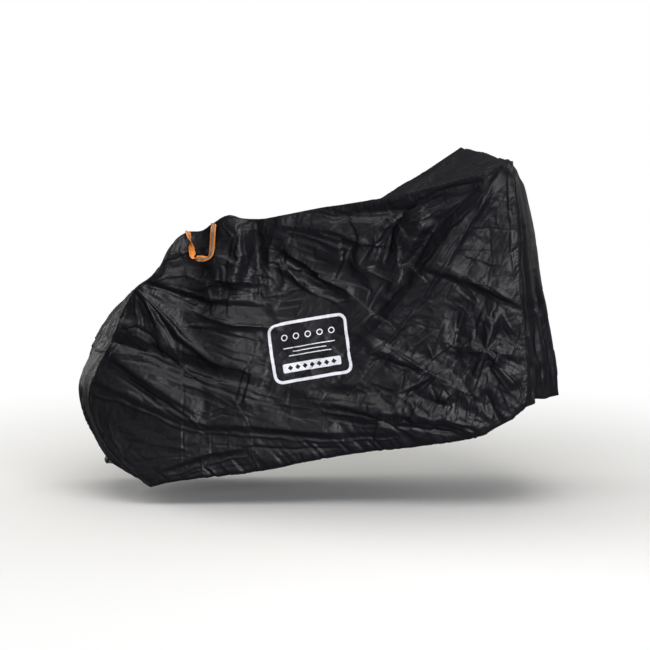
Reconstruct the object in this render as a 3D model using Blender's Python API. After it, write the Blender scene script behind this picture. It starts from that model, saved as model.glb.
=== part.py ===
"""A fitted rain cover, in the shape in which it drapes when it is held up from inside.

The cover is sewn from two side panels and one long centre strip, which runs from the front hem up
to the front ridge, along the top and down to the rear hem. A webbing loop hangs from the near
panel's top seam. Each panel is a patch between four edges, raised into folds, and each piece of
cloth is a closed sheet whose edges are mitred against its neighbour's.

Metres. x runs forward, y away from the side with the loop, and heights are above the ground. The
origin is under the top of the cover, where it is held up.
"""
from collections import namedtuple
import math

import bmesh
import bpy
import numpy as np

# Sizes.
MOUNT_HEIGHT = 0.925      # ground to the origin, just under the top
CLOTH = 0.002             # coated taffeta, with its sewn allowances
HEM_EXTRA = 0.002         # more at the hem, which is turned over an elastic
HEM_TALL = 0.024
HEM_CURL = 0.012          # how far the elastic draws the hem's edge in
SEAM_SETBACK = 0.0003     # of each of the two edges that meet at a seam
WEBBING_WIDE = 0.022
WEBBING_THICK = 0.0016
LOOP_SEAT = 0.0003        # webbing to the seam that it is sewn in

# How finely the cloth is divided.
LONG_STEPS = 44           # along a side panel
TALL_STEPS = 26           # up a side panel, hem included
STRIP_STEPS = 12          # across the centre strip

# How soon a seam's own curve dies out across a panel: higher is sooner.
REAR_HOLD = 3.0
FRONT_HOLD = 2.0

# A fold's section: how round its crest is, and how softly its foot runs out into the cloth.
CREST_ROUND = 0.02
FOOT_FLARE = 1.5
LEAST_MITRE = 0.6         # a sharper seam's mitre is cut off here, so that it doesn't run far out

# Edges of the side panels. Along the top and the hem the stations run from rear to front, and up
# the seams they run from the hem to the top.
Station = namedtuple("Station", "x y height")
NEAR_TOP = (
    Station(-0.670, -0.270, 0.753),
    Station(-0.625, -0.280, 0.789),
    Station(-0.585, -0.285, 0.822),
    Station(-0.561, -0.285, 0.867),
    Station(-0.536, -0.280, 0.912),
    Station(-0.508, -0.275, 0.942),
    Station(-0.480, -0.270, 0.957),
    Station(-0.433, -0.270, 0.961),
    Station(-0.394, -0.290, 0.987),
    Station(-0.330, -0.310, 1.020),
    Station(-0.292, -0.300, 1.009),
    Station(-0.244, -0.290, 1.003),
    Station(-0.140, -0.300, 1.021),
    Station(-0.017, -0.320, 1.046),
    Station(0.086, -0.350, 1.064),
    Station(0.207, -0.380, 1.087),
    Station(0.292, -0.410, 1.107),
    Station(0.393, -0.450, 1.136),
    Station(0.493, -0.480, 1.169),
    Station(0.587, -0.505, 1.202),
    Station(0.636, -0.520, 1.223),
)
NEAR_HEM = (
    Station(-0.618, -0.270, 0.047),
    Station(-0.547, -0.280, 0.067),
    Station(-0.440, -0.285, 0.080),
    Station(-0.264, -0.290, 0.103),
    Station(-0.088, -0.300, 0.141),
    Station(0.088, -0.310, 0.173),
    Station(0.262, -0.325, 0.197),
    Station(0.436, -0.350, 0.223),
    Station(0.533, -0.370, 0.245),
    Station(0.609, -0.380, 0.285),
    Station(0.661, -0.385, 0.320),
    Station(0.703, -0.380, 0.354),
)
NEAR_REAR = (
    Station(-0.618, -0.270, 0.047),
    Station(-0.751, -0.245, 0.165),
    Station(-0.805, -0.225, 0.248),
    Station(-0.837, -0.215, 0.382),
    Station(-0.796, -0.220, 0.490),
    Station(-0.752, -0.230, 0.567),
    Station(-0.730, -0.240, 0.636),
    Station(-0.670, -0.270, 0.753),
)
NEAR_FRONT = (
    Station(0.703, -0.380, 0.354),
    Station(0.705, -0.390, 0.453),
    Station(0.692, -0.410, 0.596),
    Station(0.675, -0.430, 0.738),
    Station(0.659, -0.470, 0.984),
    Station(0.636, -0.520, 1.223),
)
FAR_TOP = (
    Station(-0.700, 0.270, 0.690),
    Station(-0.640, 0.275, 0.745),
    Station(-0.580, 0.280, 0.820),
    Station(-0.530, 0.275, 0.875),
    Station(-0.470, 0.270, 0.893),
    Station(-0.400, 0.290, 0.915),
    Station(-0.330, 0.300, 0.930),
    Station(-0.260, 0.300, 0.920),
    Station(-0.140, 0.310, 0.935),
    Station(0.000, 0.330, 0.955),
    Station(0.110, 0.360, 0.980),
    Station(0.206, 0.390, 1.018),
    Station(0.282, 0.430, 1.062),
    Station(0.358, 0.460, 1.103),
    Station(0.438, 0.490, 1.153),
    Station(0.515, 0.520, 1.202),
)
FAR_HEM = (
    Station(-0.620, 0.285, 0.060),
    Station(-0.440, 0.295, 0.090),
    Station(-0.260, 0.300, 0.112),
    Station(-0.090, 0.310, 0.140),
    Station(0.090, 0.320, 0.172),
    Station(0.260, 0.335, 0.200),
    Station(0.440, 0.355, 0.232),
    Station(0.560, 0.375, 0.262),
    Station(0.640, 0.385, 0.308),
    Station(0.700, 0.385, 0.358),
)
FAR_REAR = (
    Station(-0.620, 0.285, 0.060),
    Station(-0.760, 0.260, 0.160),
    Station(-0.830, 0.245, 0.270),
    Station(-0.860, 0.235, 0.380),
    Station(-0.845, 0.240, 0.460),
    Station(-0.800, 0.250, 0.550),
    Station(-0.750, 0.260, 0.630),
    Station(-0.700, 0.270, 0.690),
)
FAR_FRONT = (
    Station(0.700, 0.385, 0.358),
    Station(0.695, 0.410, 0.600),
    Station(0.665, 0.450, 0.850),
    Station(0.590, 0.495, 1.070),
    Station(0.515, 0.520, 1.202),
)

# How the centre strip leaves the straight line between its seams. A row's place along the strip is
# 0 at the front hem, 1 at the front ridge, 2 at the top's rear corner and 3 at the rear hem.
Crown = namedtuple("Crown", "place near_x near_up mid_x mid_up far_x far_up")
STRIP_CROWN = (
    Crown(0.00, 0.112, 0.014, 0.130, 0.016, 0.085, 0.008),
    Crown(0.30, 0.104, 0.000, 0.110, 0.000, 0.062, 0.000),
    Crown(0.50, 0.096, 0.000, 0.094, 0.000, 0.044, 0.000),
    Crown(0.80, 0.078, -0.006, 0.070, -0.006, 0.030, -0.004),
    Crown(0.93, 0.056, -0.010, 0.046, -0.012, 0.020, -0.006),
    Crown(0.97, 0.034, -0.008, 0.028, -0.010, 0.012, -0.004),
    Crown(1.00, 0.004, 0.000, 0.004, 0.000, 0.002, 0.000),
    Crown(1.10, 0.000, -0.012, 0.000, -0.018, 0.000, -0.008),
    Crown(1.22, 0.000, -0.030, 0.000, -0.038, 0.000, -0.018),
    Crown(1.40, 0.000, -0.052, 0.000, -0.066, 0.000, -0.040),
    Crown(1.60, 0.000, -0.060, 0.000, -0.080, 0.000, -0.044),
    Crown(1.72, 0.000, -0.030, 0.000, -0.064, 0.000, -0.020),
    Crown(1.86, -0.006, -0.030, -0.010, -0.056, -0.006, -0.020),
    Crown(2.00, -0.010, -0.012, -0.020, -0.020, -0.012, -0.006),
    Crown(2.25, -0.022, 0.000, -0.034, 0.000, -0.026, 0.000),
    Crown(2.50, -0.022, 0.000, -0.034, 0.000, -0.028, 0.000),
    Crown(2.75, -0.040, 0.000, -0.062, 0.000, -0.046, 0.000),
    Crown(2.90, -0.070, 0.014, -0.124, 0.024, -0.080, 0.016),
    Crown(3.00, -0.100, 0.034, -0.180, 0.055, -0.110, 0.036),
)

# Where a panel stands out from the patch between its edges (or in, where out is negative).
Belly = namedtuple("Belly", "x height reach_x reach_up out")
NEAR_BELLIES = (
    Belly(0.300, 0.330, 0.330, 0.130, 0.062),     # pushed out low down
    Belly(-0.430, 0.400, 0.300, 0.200, 0.020),    # full over the rear flank
    Belly(-0.050, 0.830, 0.260, 0.150, -0.050),   # slack below the dip in the top
    Belly(0.560, 0.700, 0.130, 0.300, -0.018),    # drawn flat below the front corner
)
FAR_BELLIES = (
    Belly(0.200, 0.330, 0.330, 0.140, 0.055),
    Belly(-0.430, 0.400, 0.300, 0.200, 0.020),
    Belly(-0.050, 0.800, 0.280, 0.140, -0.045),
)

# Folds of the side panels. Each is a run of points; at each the fold has its half width and its
# height, which is negative in a trough. With a lean above zero the slope on the left of the run is
# the wide one, and the other is steep. A star's run comes back to its middle between the arms.
Fold = namedtuple("Fold", "lean points")
At = namedtuple("At", "x height wide tall")
NEAR_FOLDS = (
    # from the front corner down and back across the side: the longest fold, with a trough behind
    Fold(0.40, (At(0.605, 1.190, 0.034, 0.008), At(0.523, 1.089, 0.056, 0.032),
                At(0.455, 1.000, 0.074, 0.044), At(0.386, 0.881, 0.086, 0.048),
                At(0.320, 0.789, 0.090, 0.044), At(0.231, 0.676, 0.090, 0.034),
                At(0.127, 0.547, 0.080, 0.012))),
    Fold(0.0, (At(0.499, 1.106, 0.040, -0.010), At(0.390, 0.994, 0.056, -0.026),
               At(0.290, 0.867, 0.060, -0.024), At(0.210, 0.772, 0.050, -0.008))),
    Fold(0.0, (At(0.592, 1.079, 0.040, -0.010), At(0.603, 0.874, 0.056, -0.028),
               At(0.592, 0.635, 0.056, -0.020))),
    # the dimple behind the front ridge, and what runs into it
    Fold(0.3, (At(0.275, 1.041, 0.040, -0.034), At(0.430, 1.106, 0.036, -0.018),
               At(0.596, 1.178, 0.030, -0.004), At(0.275, 1.041, 0.040, -0.034),
               At(0.086, 1.021, 0.034, -0.018), At(-0.103, 1.000, 0.030, -0.004),
               At(0.275, 1.041, 0.040, -0.034), At(0.203, 0.925, 0.040, -0.032),
               At(0.176, 0.847, 0.040, -0.012))),
    Fold(0.0, (At(0.340, 1.000, 0.040, 0.012), At(0.275, 0.880, 0.048, 0.020),
               At(0.217, 0.738, 0.050, 0.008))),
    # the swag in the slack middle
    Fold(0.3, (At(-0.145, 0.977, 0.050, 0.014), At(0.017, 0.962, 0.056, 0.034),
               At(0.121, 0.908, 0.050, 0.036), At(0.093, 0.823, 0.040, 0.012))),
    Fold(-0.3, (At(-0.148, 0.870, 0.040, -0.016), At(-0.034, 0.813, 0.045, -0.032),
                At(0.052, 0.765, 0.038, -0.016))),
    Fold(0.3, (At(-0.145, 0.828, 0.040, 0.016), At(-0.052, 0.768, 0.042, 0.026),
               At(0.069, 0.734, 0.036, 0.010))),
    # below the rear hump
    Fold(0.0, (At(-0.238, 0.990, 0.034, -0.014), At(-0.231, 0.874, 0.038, -0.026),
               At(-0.227, 0.738, 0.034, -0.010))),
    Fold(0.0, (At(-0.310, 0.980, 0.040, 0.010), At(-0.298, 0.884, 0.045, 0.022),
               At(-0.325, 0.789, 0.045, 0.014))),
    Fold(0.3, (At(-0.482, 0.738, 0.034, 0.016), At(-0.379, 0.789, 0.040, 0.028),
               At(-0.217, 0.779, 0.034, 0.012))),
    Fold(-0.4, (At(-0.603, 0.765, 0.034, -0.014), At(-0.430, 0.702, 0.042, -0.028),
                At(-0.217, 0.690, 0.036, -0.012))),
    Fold(0.3, (At(-0.465, 0.676, 0.034, 0.010), At(-0.310, 0.635, 0.042, 0.028),
               At(-0.172, 0.618, 0.036, 0.010))),
    # a fan from the rear corner, and the long folds across the rear flank
    Fold(0.3, (At(-0.644, 0.751, 0.026, 0.008), At(-0.603, 0.652, 0.036, 0.020),
               At(-0.568, 0.560, 0.034, 0.006), At(-0.644, 0.751, 0.026, 0.008),
               At(-0.517, 0.601, 0.040, 0.026), At(-0.379, 0.492, 0.042, 0.010))),
    Fold(-0.3, (At(-0.775, 0.543, 0.030, 0.014), At(-0.723, 0.625, 0.034, 0.020),
                At(-0.654, 0.642, 0.030, 0.006))),
    Fold(0.3, (At(-0.734, 0.560, 0.034, -0.014), At(-0.465, 0.475, 0.044, -0.026),
               At(-0.207, 0.407, 0.040, -0.010))),
    Fold(0.3, (At(-0.740, 0.509, 0.034, 0.010), At(-0.603, 0.413, 0.046, 0.028),
               At(-0.465, 0.328, 0.042, 0.012))),
    Fold(0.2, (At(-0.800, 0.420, 0.030, 0.008), At(-0.603, 0.345, 0.040, 0.018),
               At(-0.448, 0.287, 0.044, 0.024), At(-0.424, 0.164, 0.040, 0.008))),
    # from the low rear corner along the hem, and the shelf where the cloth is pushed out
    Fold(0.3, (At(-0.580, 0.116, 0.026, 0.008), At(-0.430, 0.168, 0.034, 0.018),
               At(-0.241, 0.208, 0.036, 0.006))),
    Fold(0.4, (At(-0.400, 0.287, 0.040, 0.004), At(-0.217, 0.273, 0.048, 0.022),
               At(0.034, 0.256, 0.048, 0.016), At(0.241, 0.262, 0.040, 0.006))),
    Fold(0.5, (At(0.017, 0.355, 0.040, 0.008), At(0.155, 0.342, 0.052, 0.026),
               At(0.327, 0.331, 0.052, 0.028), At(0.520, 0.287, 0.036, 0.010))),
    Fold(0.0, (At(-0.114, 0.413, 0.040, 0.008), At(0.069, 0.390, 0.042, -0.020),
               At(0.230, 0.410, 0.036, -0.010))),
    Fold(0.2, (At(0.396, 0.635, 0.040, 0.006), At(0.300, 0.560, 0.046, 0.022),
               At(0.207, 0.480, 0.040, 0.008))),
    # two stars of creases where the cloth is pushed out from inside, and troughs around them
    Fold(0.0, (At(0.558, 0.567, 0.040, 0.032), At(0.668, 0.543, 0.034, 0.010),
               At(0.558, 0.567, 0.040, 0.032), At(0.650, 0.447, 0.036, 0.012),
               At(0.558, 0.567, 0.040, 0.032), At(0.517, 0.440, 0.036, 0.010),
               At(0.558, 0.567, 0.040, 0.032), At(0.430, 0.575, 0.036, 0.008),
               At(0.558, 0.567, 0.040, 0.032), At(0.592, 0.686, 0.034, 0.008))),
    Fold(0.0, (At(0.362, 0.482, 0.044, 0.032), At(0.172, 0.560, 0.036, 0.006),
               At(0.362, 0.482, 0.044, 0.032), At(0.241, 0.413, 0.036, 0.010),
               At(0.362, 0.482, 0.044, 0.032), At(0.465, 0.424, 0.036, 0.010))),
    Fold(0.0, (At(0.448, 0.590, 0.038, -0.020), At(0.455, 0.690, 0.040, -0.022),
               At(0.520, 0.772, 0.036, -0.008))),
    Fold(0.0, (At(0.310, 0.396, 0.030, -0.016), At(0.413, 0.355, 0.030, -0.014))),
    Fold(0.0, (At(0.561, 0.396, 0.032, -0.020), At(0.603, 0.311, 0.030, -0.012))),
)
FAR_FOLDS = (
    Fold(0.4, (At(0.495, 1.170, 0.034, 0.008), At(0.420, 1.040, 0.060, 0.034),
               At(0.340, 0.860, 0.080, 0.044), At(0.200, 0.690, 0.086, 0.034),
               At(0.020, 0.520, 0.080, 0.010))),
    Fold(0.0, (At(0.500, 1.040, 0.040, -0.012), At(0.530, 0.820, 0.060, -0.026),
               At(0.540, 0.600, 0.060, -0.018))),
    Fold(0.0, (At(0.200, 0.970, 0.040, -0.022), At(0.040, 0.900, 0.050, -0.028),
               At(-0.120, 0.860, 0.040, -0.010))),
    Fold(0.3, (At(-0.260, 0.860, 0.040, 0.010), At(-0.040, 0.790, 0.050, 0.030),
               At(0.140, 0.800, 0.045, 0.010))),
    Fold(0.0, (At(-0.330, 0.880, 0.040, 0.010), At(-0.350, 0.740, 0.050, 0.026),
               At(-0.420, 0.600, 0.045, 0.010))),
    Fold(0.3, (At(-0.670, 0.660, 0.030, 0.010), At(-0.560, 0.540, 0.040, 0.026),
               At(-0.380, 0.440, 0.045, 0.010))),
    Fold(0.3, (At(-0.760, 0.500, 0.034, -0.012), At(-0.500, 0.420, 0.045, -0.026),
               At(-0.240, 0.370, 0.040, -0.010))),
    Fold(0.3, (At(-0.760, 0.390, 0.034, 0.010), At(-0.560, 0.290, 0.045, 0.024),
               At(-0.300, 0.240, 0.045, 0.018), At(0.000, 0.250, 0.040, 0.006))),
    Fold(0.4, (At(0.020, 0.350, 0.040, 0.008), At(0.240, 0.320, 0.050, 0.026),
               At(0.480, 0.300, 0.040, 0.010))),
    Fold(0.0, (At(0.500, 0.560, 0.040, 0.030), At(0.630, 0.480, 0.034, 0.010),
               At(0.500, 0.560, 0.040, 0.030), At(0.400, 0.640, 0.036, 0.008),
               At(0.500, 0.560, 0.040, 0.030), At(0.440, 0.420, 0.036, 0.010))),
    Fold(0.0, (At(0.120, 0.560, 0.045, -0.022), At(0.260, 0.450, 0.040, -0.020))),
)

# Folds of the centre strip: x is now the length along the strip from the front hem, and height is
# the length across it from the near seam.
STRIP_FOLDS = (
    # pleats down the front
    Fold(0.0, (At(0.000, 0.085, 0.038, -0.034), At(0.500, 0.090, 0.038, -0.034),
               At(0.800, 0.100, 0.034, -0.014))),
    Fold(0.0, (At(0.000, 0.190, 0.045, 0.026), At(0.400, 0.200, 0.048, 0.022),
               At(0.760, 0.240, 0.040, 0.008))),
    Fold(0.0, (At(0.000, 0.320, 0.042, -0.024), At(0.350, 0.350, 0.048, -0.026),
               At(0.700, 0.420, 0.040, -0.010))),
    Fold(0.0, (At(0.000, 0.480, 0.045, 0.024), At(0.400, 0.530, 0.050, 0.024),
               At(0.780, 0.640, 0.045, 0.010))),
    Fold(0.0, (At(0.000, 0.640, 0.042, -0.020), At(0.450, 0.720, 0.048, -0.020))),
    # across the top, behind the front ridge
    Fold(0.3, (At(0.960, 0.900, 0.040, 0.008), At(1.120, 0.560, 0.058, 0.024),
               At(1.240, 0.200, 0.045, 0.010))),
    Fold(-0.3, (At(1.060, 0.820, 0.040, -0.008), At(1.230, 0.500, 0.056, -0.024),
                At(1.320, 0.180, 0.045, -0.010))),
    Fold(0.0, (At(1.420, 0.150, 0.045, 0.012), At(1.480, 0.420, 0.060, 0.028),
               At(1.440, 0.560, 0.045, 0.010))),
    Fold(0.0, (At(1.640, 0.120, 0.045, -0.012), At(1.660, 0.350, 0.060, -0.024),
               At(1.700, 0.520, 0.045, -0.010))),
    # over the rear hump and down the rear
    Fold(0.0, (At(1.960, 0.120, 0.045, 0.010), At(2.000, 0.300, 0.055, 0.024),
               At(1.980, 0.450, 0.045, 0.012))),
    Fold(0.0, (At(2.180, 0.110, 0.040, -0.012), At(2.200, 0.280, 0.050, -0.024),
               At(2.240, 0.430, 0.040, -0.012))),
    Fold(0.0, (At(2.420, 0.100, 0.036, 0.008), At(2.640, 0.130, 0.042, 0.018),
               At(2.960, 0.120, 0.036, 0.012))),
    Fold(0.0, (At(2.460, 0.230, 0.042, -0.010), At(2.700, 0.260, 0.045, -0.024),
               At(3.060, 0.240, 0.040, -0.020))),
    Fold(0.0, (At(2.480, 0.370, 0.042, 0.010), At(2.760, 0.390, 0.045, 0.024),
               At(3.060, 0.360, 0.040, 0.014))),
)

# The webbing loop, seen from its side: down one arm, along the bottom and up the other. out is how
# far it stands off the cloth, and turn is how far it has twisted about its own run.
Bend = namedtuple("Bend", "x height out turn")
LOOP = (
    Bend(-0.478, 0.9440, 0.004, 6.0),
    Bend(-0.475, 0.9280, 0.006, 24.0),
    Bend(-0.471, 0.9060, 0.010, 58.0),
    Bend(-0.476, 0.8850, 0.010, 26.0),
    Bend(-0.470, 0.8680, 0.008, 6.0),
    Bend(-0.455, 0.8600, 0.008, 0.0),
    Bend(-0.432, 0.8575, 0.008, 0.0),
    Bend(-0.410, 0.8610, 0.008, 0.0),
    Bend(-0.398, 0.8720, 0.008, -4.0),
    Bend(-0.391, 0.8960, 0.007, -6.0),
    Bend(-0.386, 0.9260, 0.006, -4.0),
    Bend(-0.383, 0.9540, 0.005, -2.0),
    Bend(-0.382, 0.9760, 0.004, 0.0),
)
LOOP_WATCH = 0.030        # the cloth this near a bend counts when the loop is laid off it
LOOP_STEPS = 26


def smooth(at, knots, values):
    """Values at the places `at`, on a smooth curve through the values at the knots."""
    values = np.asarray(values, float)
    slopes = np.gradient(values, knots, axis=0)
    at = np.clip(at, knots[0], knots[-1])
    left = np.clip(np.searchsorted(knots, at, side="right") - 1, 0, len(knots) - 2)
    span = np.diff(knots)[left]
    part = (at - knots[left]) / span
    if values.ndim > 1:
        span, part = span[:, None], part[:, None]
    return (
        values[left] * (2 * part**3 - 3 * part**2 + 1)
        + slopes[left] * span * (part**3 - 2 * part**2 + part)
        + values[left + 1] * (3 * part**2 - 2 * part**3)
        + slopes[left + 1] * span * (part**3 - part**2)
    )


def run_lengths(points):
    """Length along a run of points, at each of them."""
    return np.concatenate([[0.0], np.cumsum(np.linalg.norm(np.diff(points, axis=0), axis=1))])


def edge_points(stations, shares):
    """Points on a smooth curve through the stations, at shares of its length."""
    knots = np.array(stations, float)
    places = run_lengths(knots)
    fine = smooth(np.linspace(0.0, places[-1], 400), places, knots)
    lengths = run_lengths(fine)
    wanted = np.asarray(shares) * lengths[-1]
    return np.stack([np.interp(wanted, lengths, fine[:, axis]) for axis in range(3)], axis=1)


def surface_normals(grid):
    """Unit normals of a grid of points, to the side from which rows run up and columns right."""
    along = np.gradient(grid, axis=1)
    up = np.gradient(grid, axis=0)
    normals = np.cross(along, up)
    return normals / np.linalg.norm(normals, axis=2, keepdims=True)


def fold_height(across, up, folds):
    """How far the folds raise the cloth at each place of a panel."""
    total = np.zeros_like(across)
    for fold in folds:
        best = np.zeros_like(across)
        for start, end in zip(fold.points, fold.points[1:]):
            run = math.hypot(end.x - start.x, end.height - start.height)
            way_x = (end.x - start.x) / run
            way_up = (end.height - start.height) / run
            along = (across - start.x) * way_x + (up - start.height) * way_up
            side = (up - start.height) * way_x - (across - start.x) * way_up
            share = np.clip(along / run, 0.0, 1.0)
            wide = start.wide + share * (end.wide - start.wide)
            tall = start.tall + share * (end.tall - start.tall)
            past = along - np.clip(along, 0.0, run)
            reach = wide * (1.0 + fold.lean * np.sign(side))
            away = np.sqrt((side / reach) ** 2 + (past / wide) ** 2 + CREST_ROUND)
            here = tall * np.clip(1.0 - away, 0.0, 1.0) ** FOOT_FLARE
            best = np.where(np.abs(here) > np.abs(best), here, best)
        total += best
    return total


def side_panel(top, hem, rear, front, bellies, folds, outward):
    """Outer points of a side panel, a row for each step up from the hem."""
    long_shares = np.linspace(0.0, 1.0, LONG_STEPS + 1)
    seam = run_lengths(np.array(rear, float))[-1]
    tall_shares = np.concatenate([[0.0], np.linspace(HEM_TALL / seam, 1.0, TALL_STEPS)])
    top_edge = edge_points(top, long_shares)
    hem_edge = edge_points(hem, long_shares)
    rear_edge = edge_points(rear, tall_shares)
    front_edge = edge_points(front, tall_shares)
    v = tall_shares[:, None, None]
    u = long_shares[None, :, None]
    between = (1 - v) * hem_edge[None] + v * top_edge[None]
    rear_bend = (rear_edge - between[:, 0])[:, None]
    front_bend = (front_edge - between[:, -1])[:, None]
    grid = between + (1 - u) ** REAR_HOLD * rear_bend + u ** FRONT_HOLD * front_bend
    inside = np.clip(4 * v * (1 - v), 0, 1) * np.clip(6 * u * (1 - u), 0, 1)
    x, z = grid[..., 0], grid[..., 2]
    for belly in bellies:
        away = ((x - belly.x) / belly.reach_x) ** 2 + ((z - belly.height) / belly.reach_up) ** 2
        grid[..., 1] += outward * belly.out * np.exp(-away) * inside[..., 0]
    normals = surface_normals(grid) * -outward
    raised = fold_height(grid[..., 0], grid[..., 2], folds)
    grid = grid + normals * raised[..., None]
    grid[0, :, 1] -= outward * HEM_CURL
    return grid


def panel_rim(grid):
    """A side panel's sewn edge: up the front, back along the top and down the rear."""
    return np.concatenate([grid[:, -1], grid[-1, -2::-1], grid[-2::-1, 0]])


def centre_strip(near, far):
    """Outer points of the strip between two side panels, a row for each point of their rims."""
    near_rim, far_rim = panel_rim(near), panel_rim(far)
    places = np.concatenate([
        np.linspace(0.0, 1.0, TALL_STEPS + 1),
        1.0 + np.linspace(0.0, 1.0, LONG_STEPS + 1)[1:],
        2.0 + np.linspace(0.0, 1.0, TALL_STEPS + 1)[1:],
    ])
    table = np.array(STRIP_CROWN)
    crown = smooth(places, table[:, 0], table[:, 1:])
    shares = np.linspace(0.0, 1.0, STRIP_STEPS + 1)
    quarters = np.array([0.0, 0.25, 0.5, 0.75, 1.0])
    grid = np.empty((len(places), STRIP_STEPS + 1, 3))
    for row, (start, end, offsets) in enumerate(zip(near_rim, far_rim, crown)):
        lift = np.zeros((5, 3))
        lift[1:4, 0] = offsets[0::2]
        lift[1:4, 2] = offsets[1::2]
        grid[row] = start + shares[:, None] * (end - start) + smooth(shares, quarters, lift)
    lengths = run_lengths(grid[:, STRIP_STEPS // 2])[:, None] + 0 * shares
    widths = np.linalg.norm(far_rim - near_rim, axis=1)[:, None] * shares
    raised = fold_height(lengths, widths, STRIP_FOLDS)
    fade = np.clip(8 * shares * (1 - shares), 0, 1)
    return grid + surface_normals(grid) * (raised * fade)[..., None]


def closed_sheet(name, outer, inner, material, collection):
    """A closed solid between two grids of points, its faces outward."""
    rows, columns = outer.shape[:2]
    points = np.concatenate([outer.reshape(-1, 3), inner.reshape(-1, 3)])
    under = rows * columns
    triangles = []

    def divide(a, b, c, d, below=0):
        """Two triangles for a face, over its shorter diagonal, and the same two below it."""
        if np.linalg.norm(points[a] - points[c]) <= np.linalg.norm(points[b] - points[d]):
            halves = ((a, b, c), (a, c, d))
        else:
            halves = ((a, b, d), (b, c, d))
        triangles.extend(halves)
        if below:
            triangles.extend(tuple(corner + below for corner in reversed(half)) for half in halves)

    for row in range(rows - 1):
        for column in range(columns - 1):
            corner = row * columns + column
            divide(corner, corner + 1, corner + columns + 1, corner + columns, below=under)
    rim = list(range(columns))
    rim += [row * columns + columns - 1 for row in range(1, rows)]
    rim += [(rows - 1) * columns + column for column in range(columns - 2, -1, -1)]
    rim += [row * columns for row in range(rows - 2, 0, -1)]
    for here, following in zip(rim, rim[1:] + rim[:1]):
        divide(following, here, here + under, following + under)
    bm = bmesh.new()
    corners = [bm.verts.new(point) for point in points]
    for triangle in triangles:
        bm.faces.new([corners[i] for i in triangle])
    bmesh.ops.recalc_face_normals(bm, faces=bm.faces)
    mesh = bpy.data.meshes.new(name)
    bm.to_mesh(mesh)
    bm.free()
    mesh.shade_smooth()
    mesh.set_sharp_from_angle(angle=math.radians(50))
    mesh.materials.append(material)
    piece = bpy.data.objects.new(name, mesh)
    piece.location.z = -MOUNT_HEIGHT
    collection.objects.link(piece)
    return piece


def set_back(edge, normals, side):
    """How far each point of a seam's edge is drawn back, which leaves half of the seam's gap."""
    runs = np.gradient(edge, axis=0)
    ways = side * np.cross(normals, runs)
    return SEAM_SETBACK * ways / np.linalg.norm(ways, axis=1, keepdims=True)


def webbing_loop(near, name, material, collection):
    """The loop of webbing, its two ends in the near panel's top seam."""
    table = np.array(LOOP)
    seam = near[-1]
    middles = (seam[1:] + seam[:-1]) / 2
    ends = []
    for bend in (LOOP[0], LOOP[-1]):
        nearest = int(np.argmin(np.abs(middles[:, 0] - bend.x)))
        run = seam[nearest + 1] - seam[nearest]
        ends.append((middles[nearest], run / np.linalg.norm(run)))
    cloth = near.reshape(-1, 3)
    path = []
    for bend in LOOP:
        close = np.hypot(cloth[:, 0] - bend.x, cloth[:, 2] - bend.height) < LOOP_WATCH
        path.append((bend.x, cloth[close, 1].min() - bend.out, bend.height))
    off_seam = np.array([0.0, -LOOP_SEAT - WEBBING_THICK, 0.0])
    start, finish = (end[0] + off_seam for end in ends)
    knots = np.array([start, *path, finish])
    places = run_lengths(knots)
    at = np.linspace(0.0, places[-1], LOOP_STEPS + 1)
    centres = smooth(at, places, knots)
    turns = smooth(at, places, np.radians([0.0, *table[:, 3], 0.0]))
    ways = np.gradient(centres, axis=0)
    ways /= np.linalg.norm(ways, axis=1, keepdims=True)
    toward = np.array([0.0, -1.0, 0.0])
    across = np.cross(ways, toward)
    across /= np.linalg.norm(across, axis=1, keepdims=True)
    across[0] = -ends[0][1] * np.sign(-ends[0][1] @ across[0])
    across[-1] = -ends[1][1] * np.sign(-ends[1][1] @ across[-1])
    fronts = np.cross(across, ways)
    sides = across * np.cos(turns)[:, None] + fronts * np.sin(turns)[:, None]
    faces = np.cross(sides, ways)
    faces /= np.linalg.norm(faces, axis=1, keepdims=True)
    shares = np.array([-0.5, -0.17, 0.17, 0.5])[None, :, None]
    outer = centres[:, None] + sides[:, None] * shares * WEBBING_WIDE
    inner = outer - faces[:, None] * WEBBING_THICK
    return closed_sheet(name, outer, inner, material, collection)


def cloth_material(name, colour, roughness):
    """A plain surface with the piece's colour and sheen."""
    material = bpy.data.materials.new(name)
    material.use_nodes = True
    shader = material.node_tree.nodes["Principled BSDF"]
    shader.inputs["Base Color"].default_value = (*colour, 1.0)
    shader.inputs["Roughness"].default_value = roughness
    shader.inputs["Metallic"].default_value = 0.0
    return material


for old in list(bpy.data.objects):
    bpy.data.objects.remove(old, do_unlink=True)

cover = bpy.data.collections.new("bicycle_cover")
bpy.context.scene.collection.children.link(cover)

# Outer points of the three pieces of cloth. The strip's first and last columns are the panels' rims.
near_side = side_panel(NEAR_TOP, NEAR_HEM, NEAR_REAR, NEAR_FRONT, NEAR_BELLIES, NEAR_FOLDS, -1)
far_side = side_panel(FAR_TOP, FAR_HEM, FAR_REAR, FAR_FRONT, FAR_BELLIES, FAR_FOLDS, 1)
strip = centre_strip(near_side, far_side)

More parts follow.
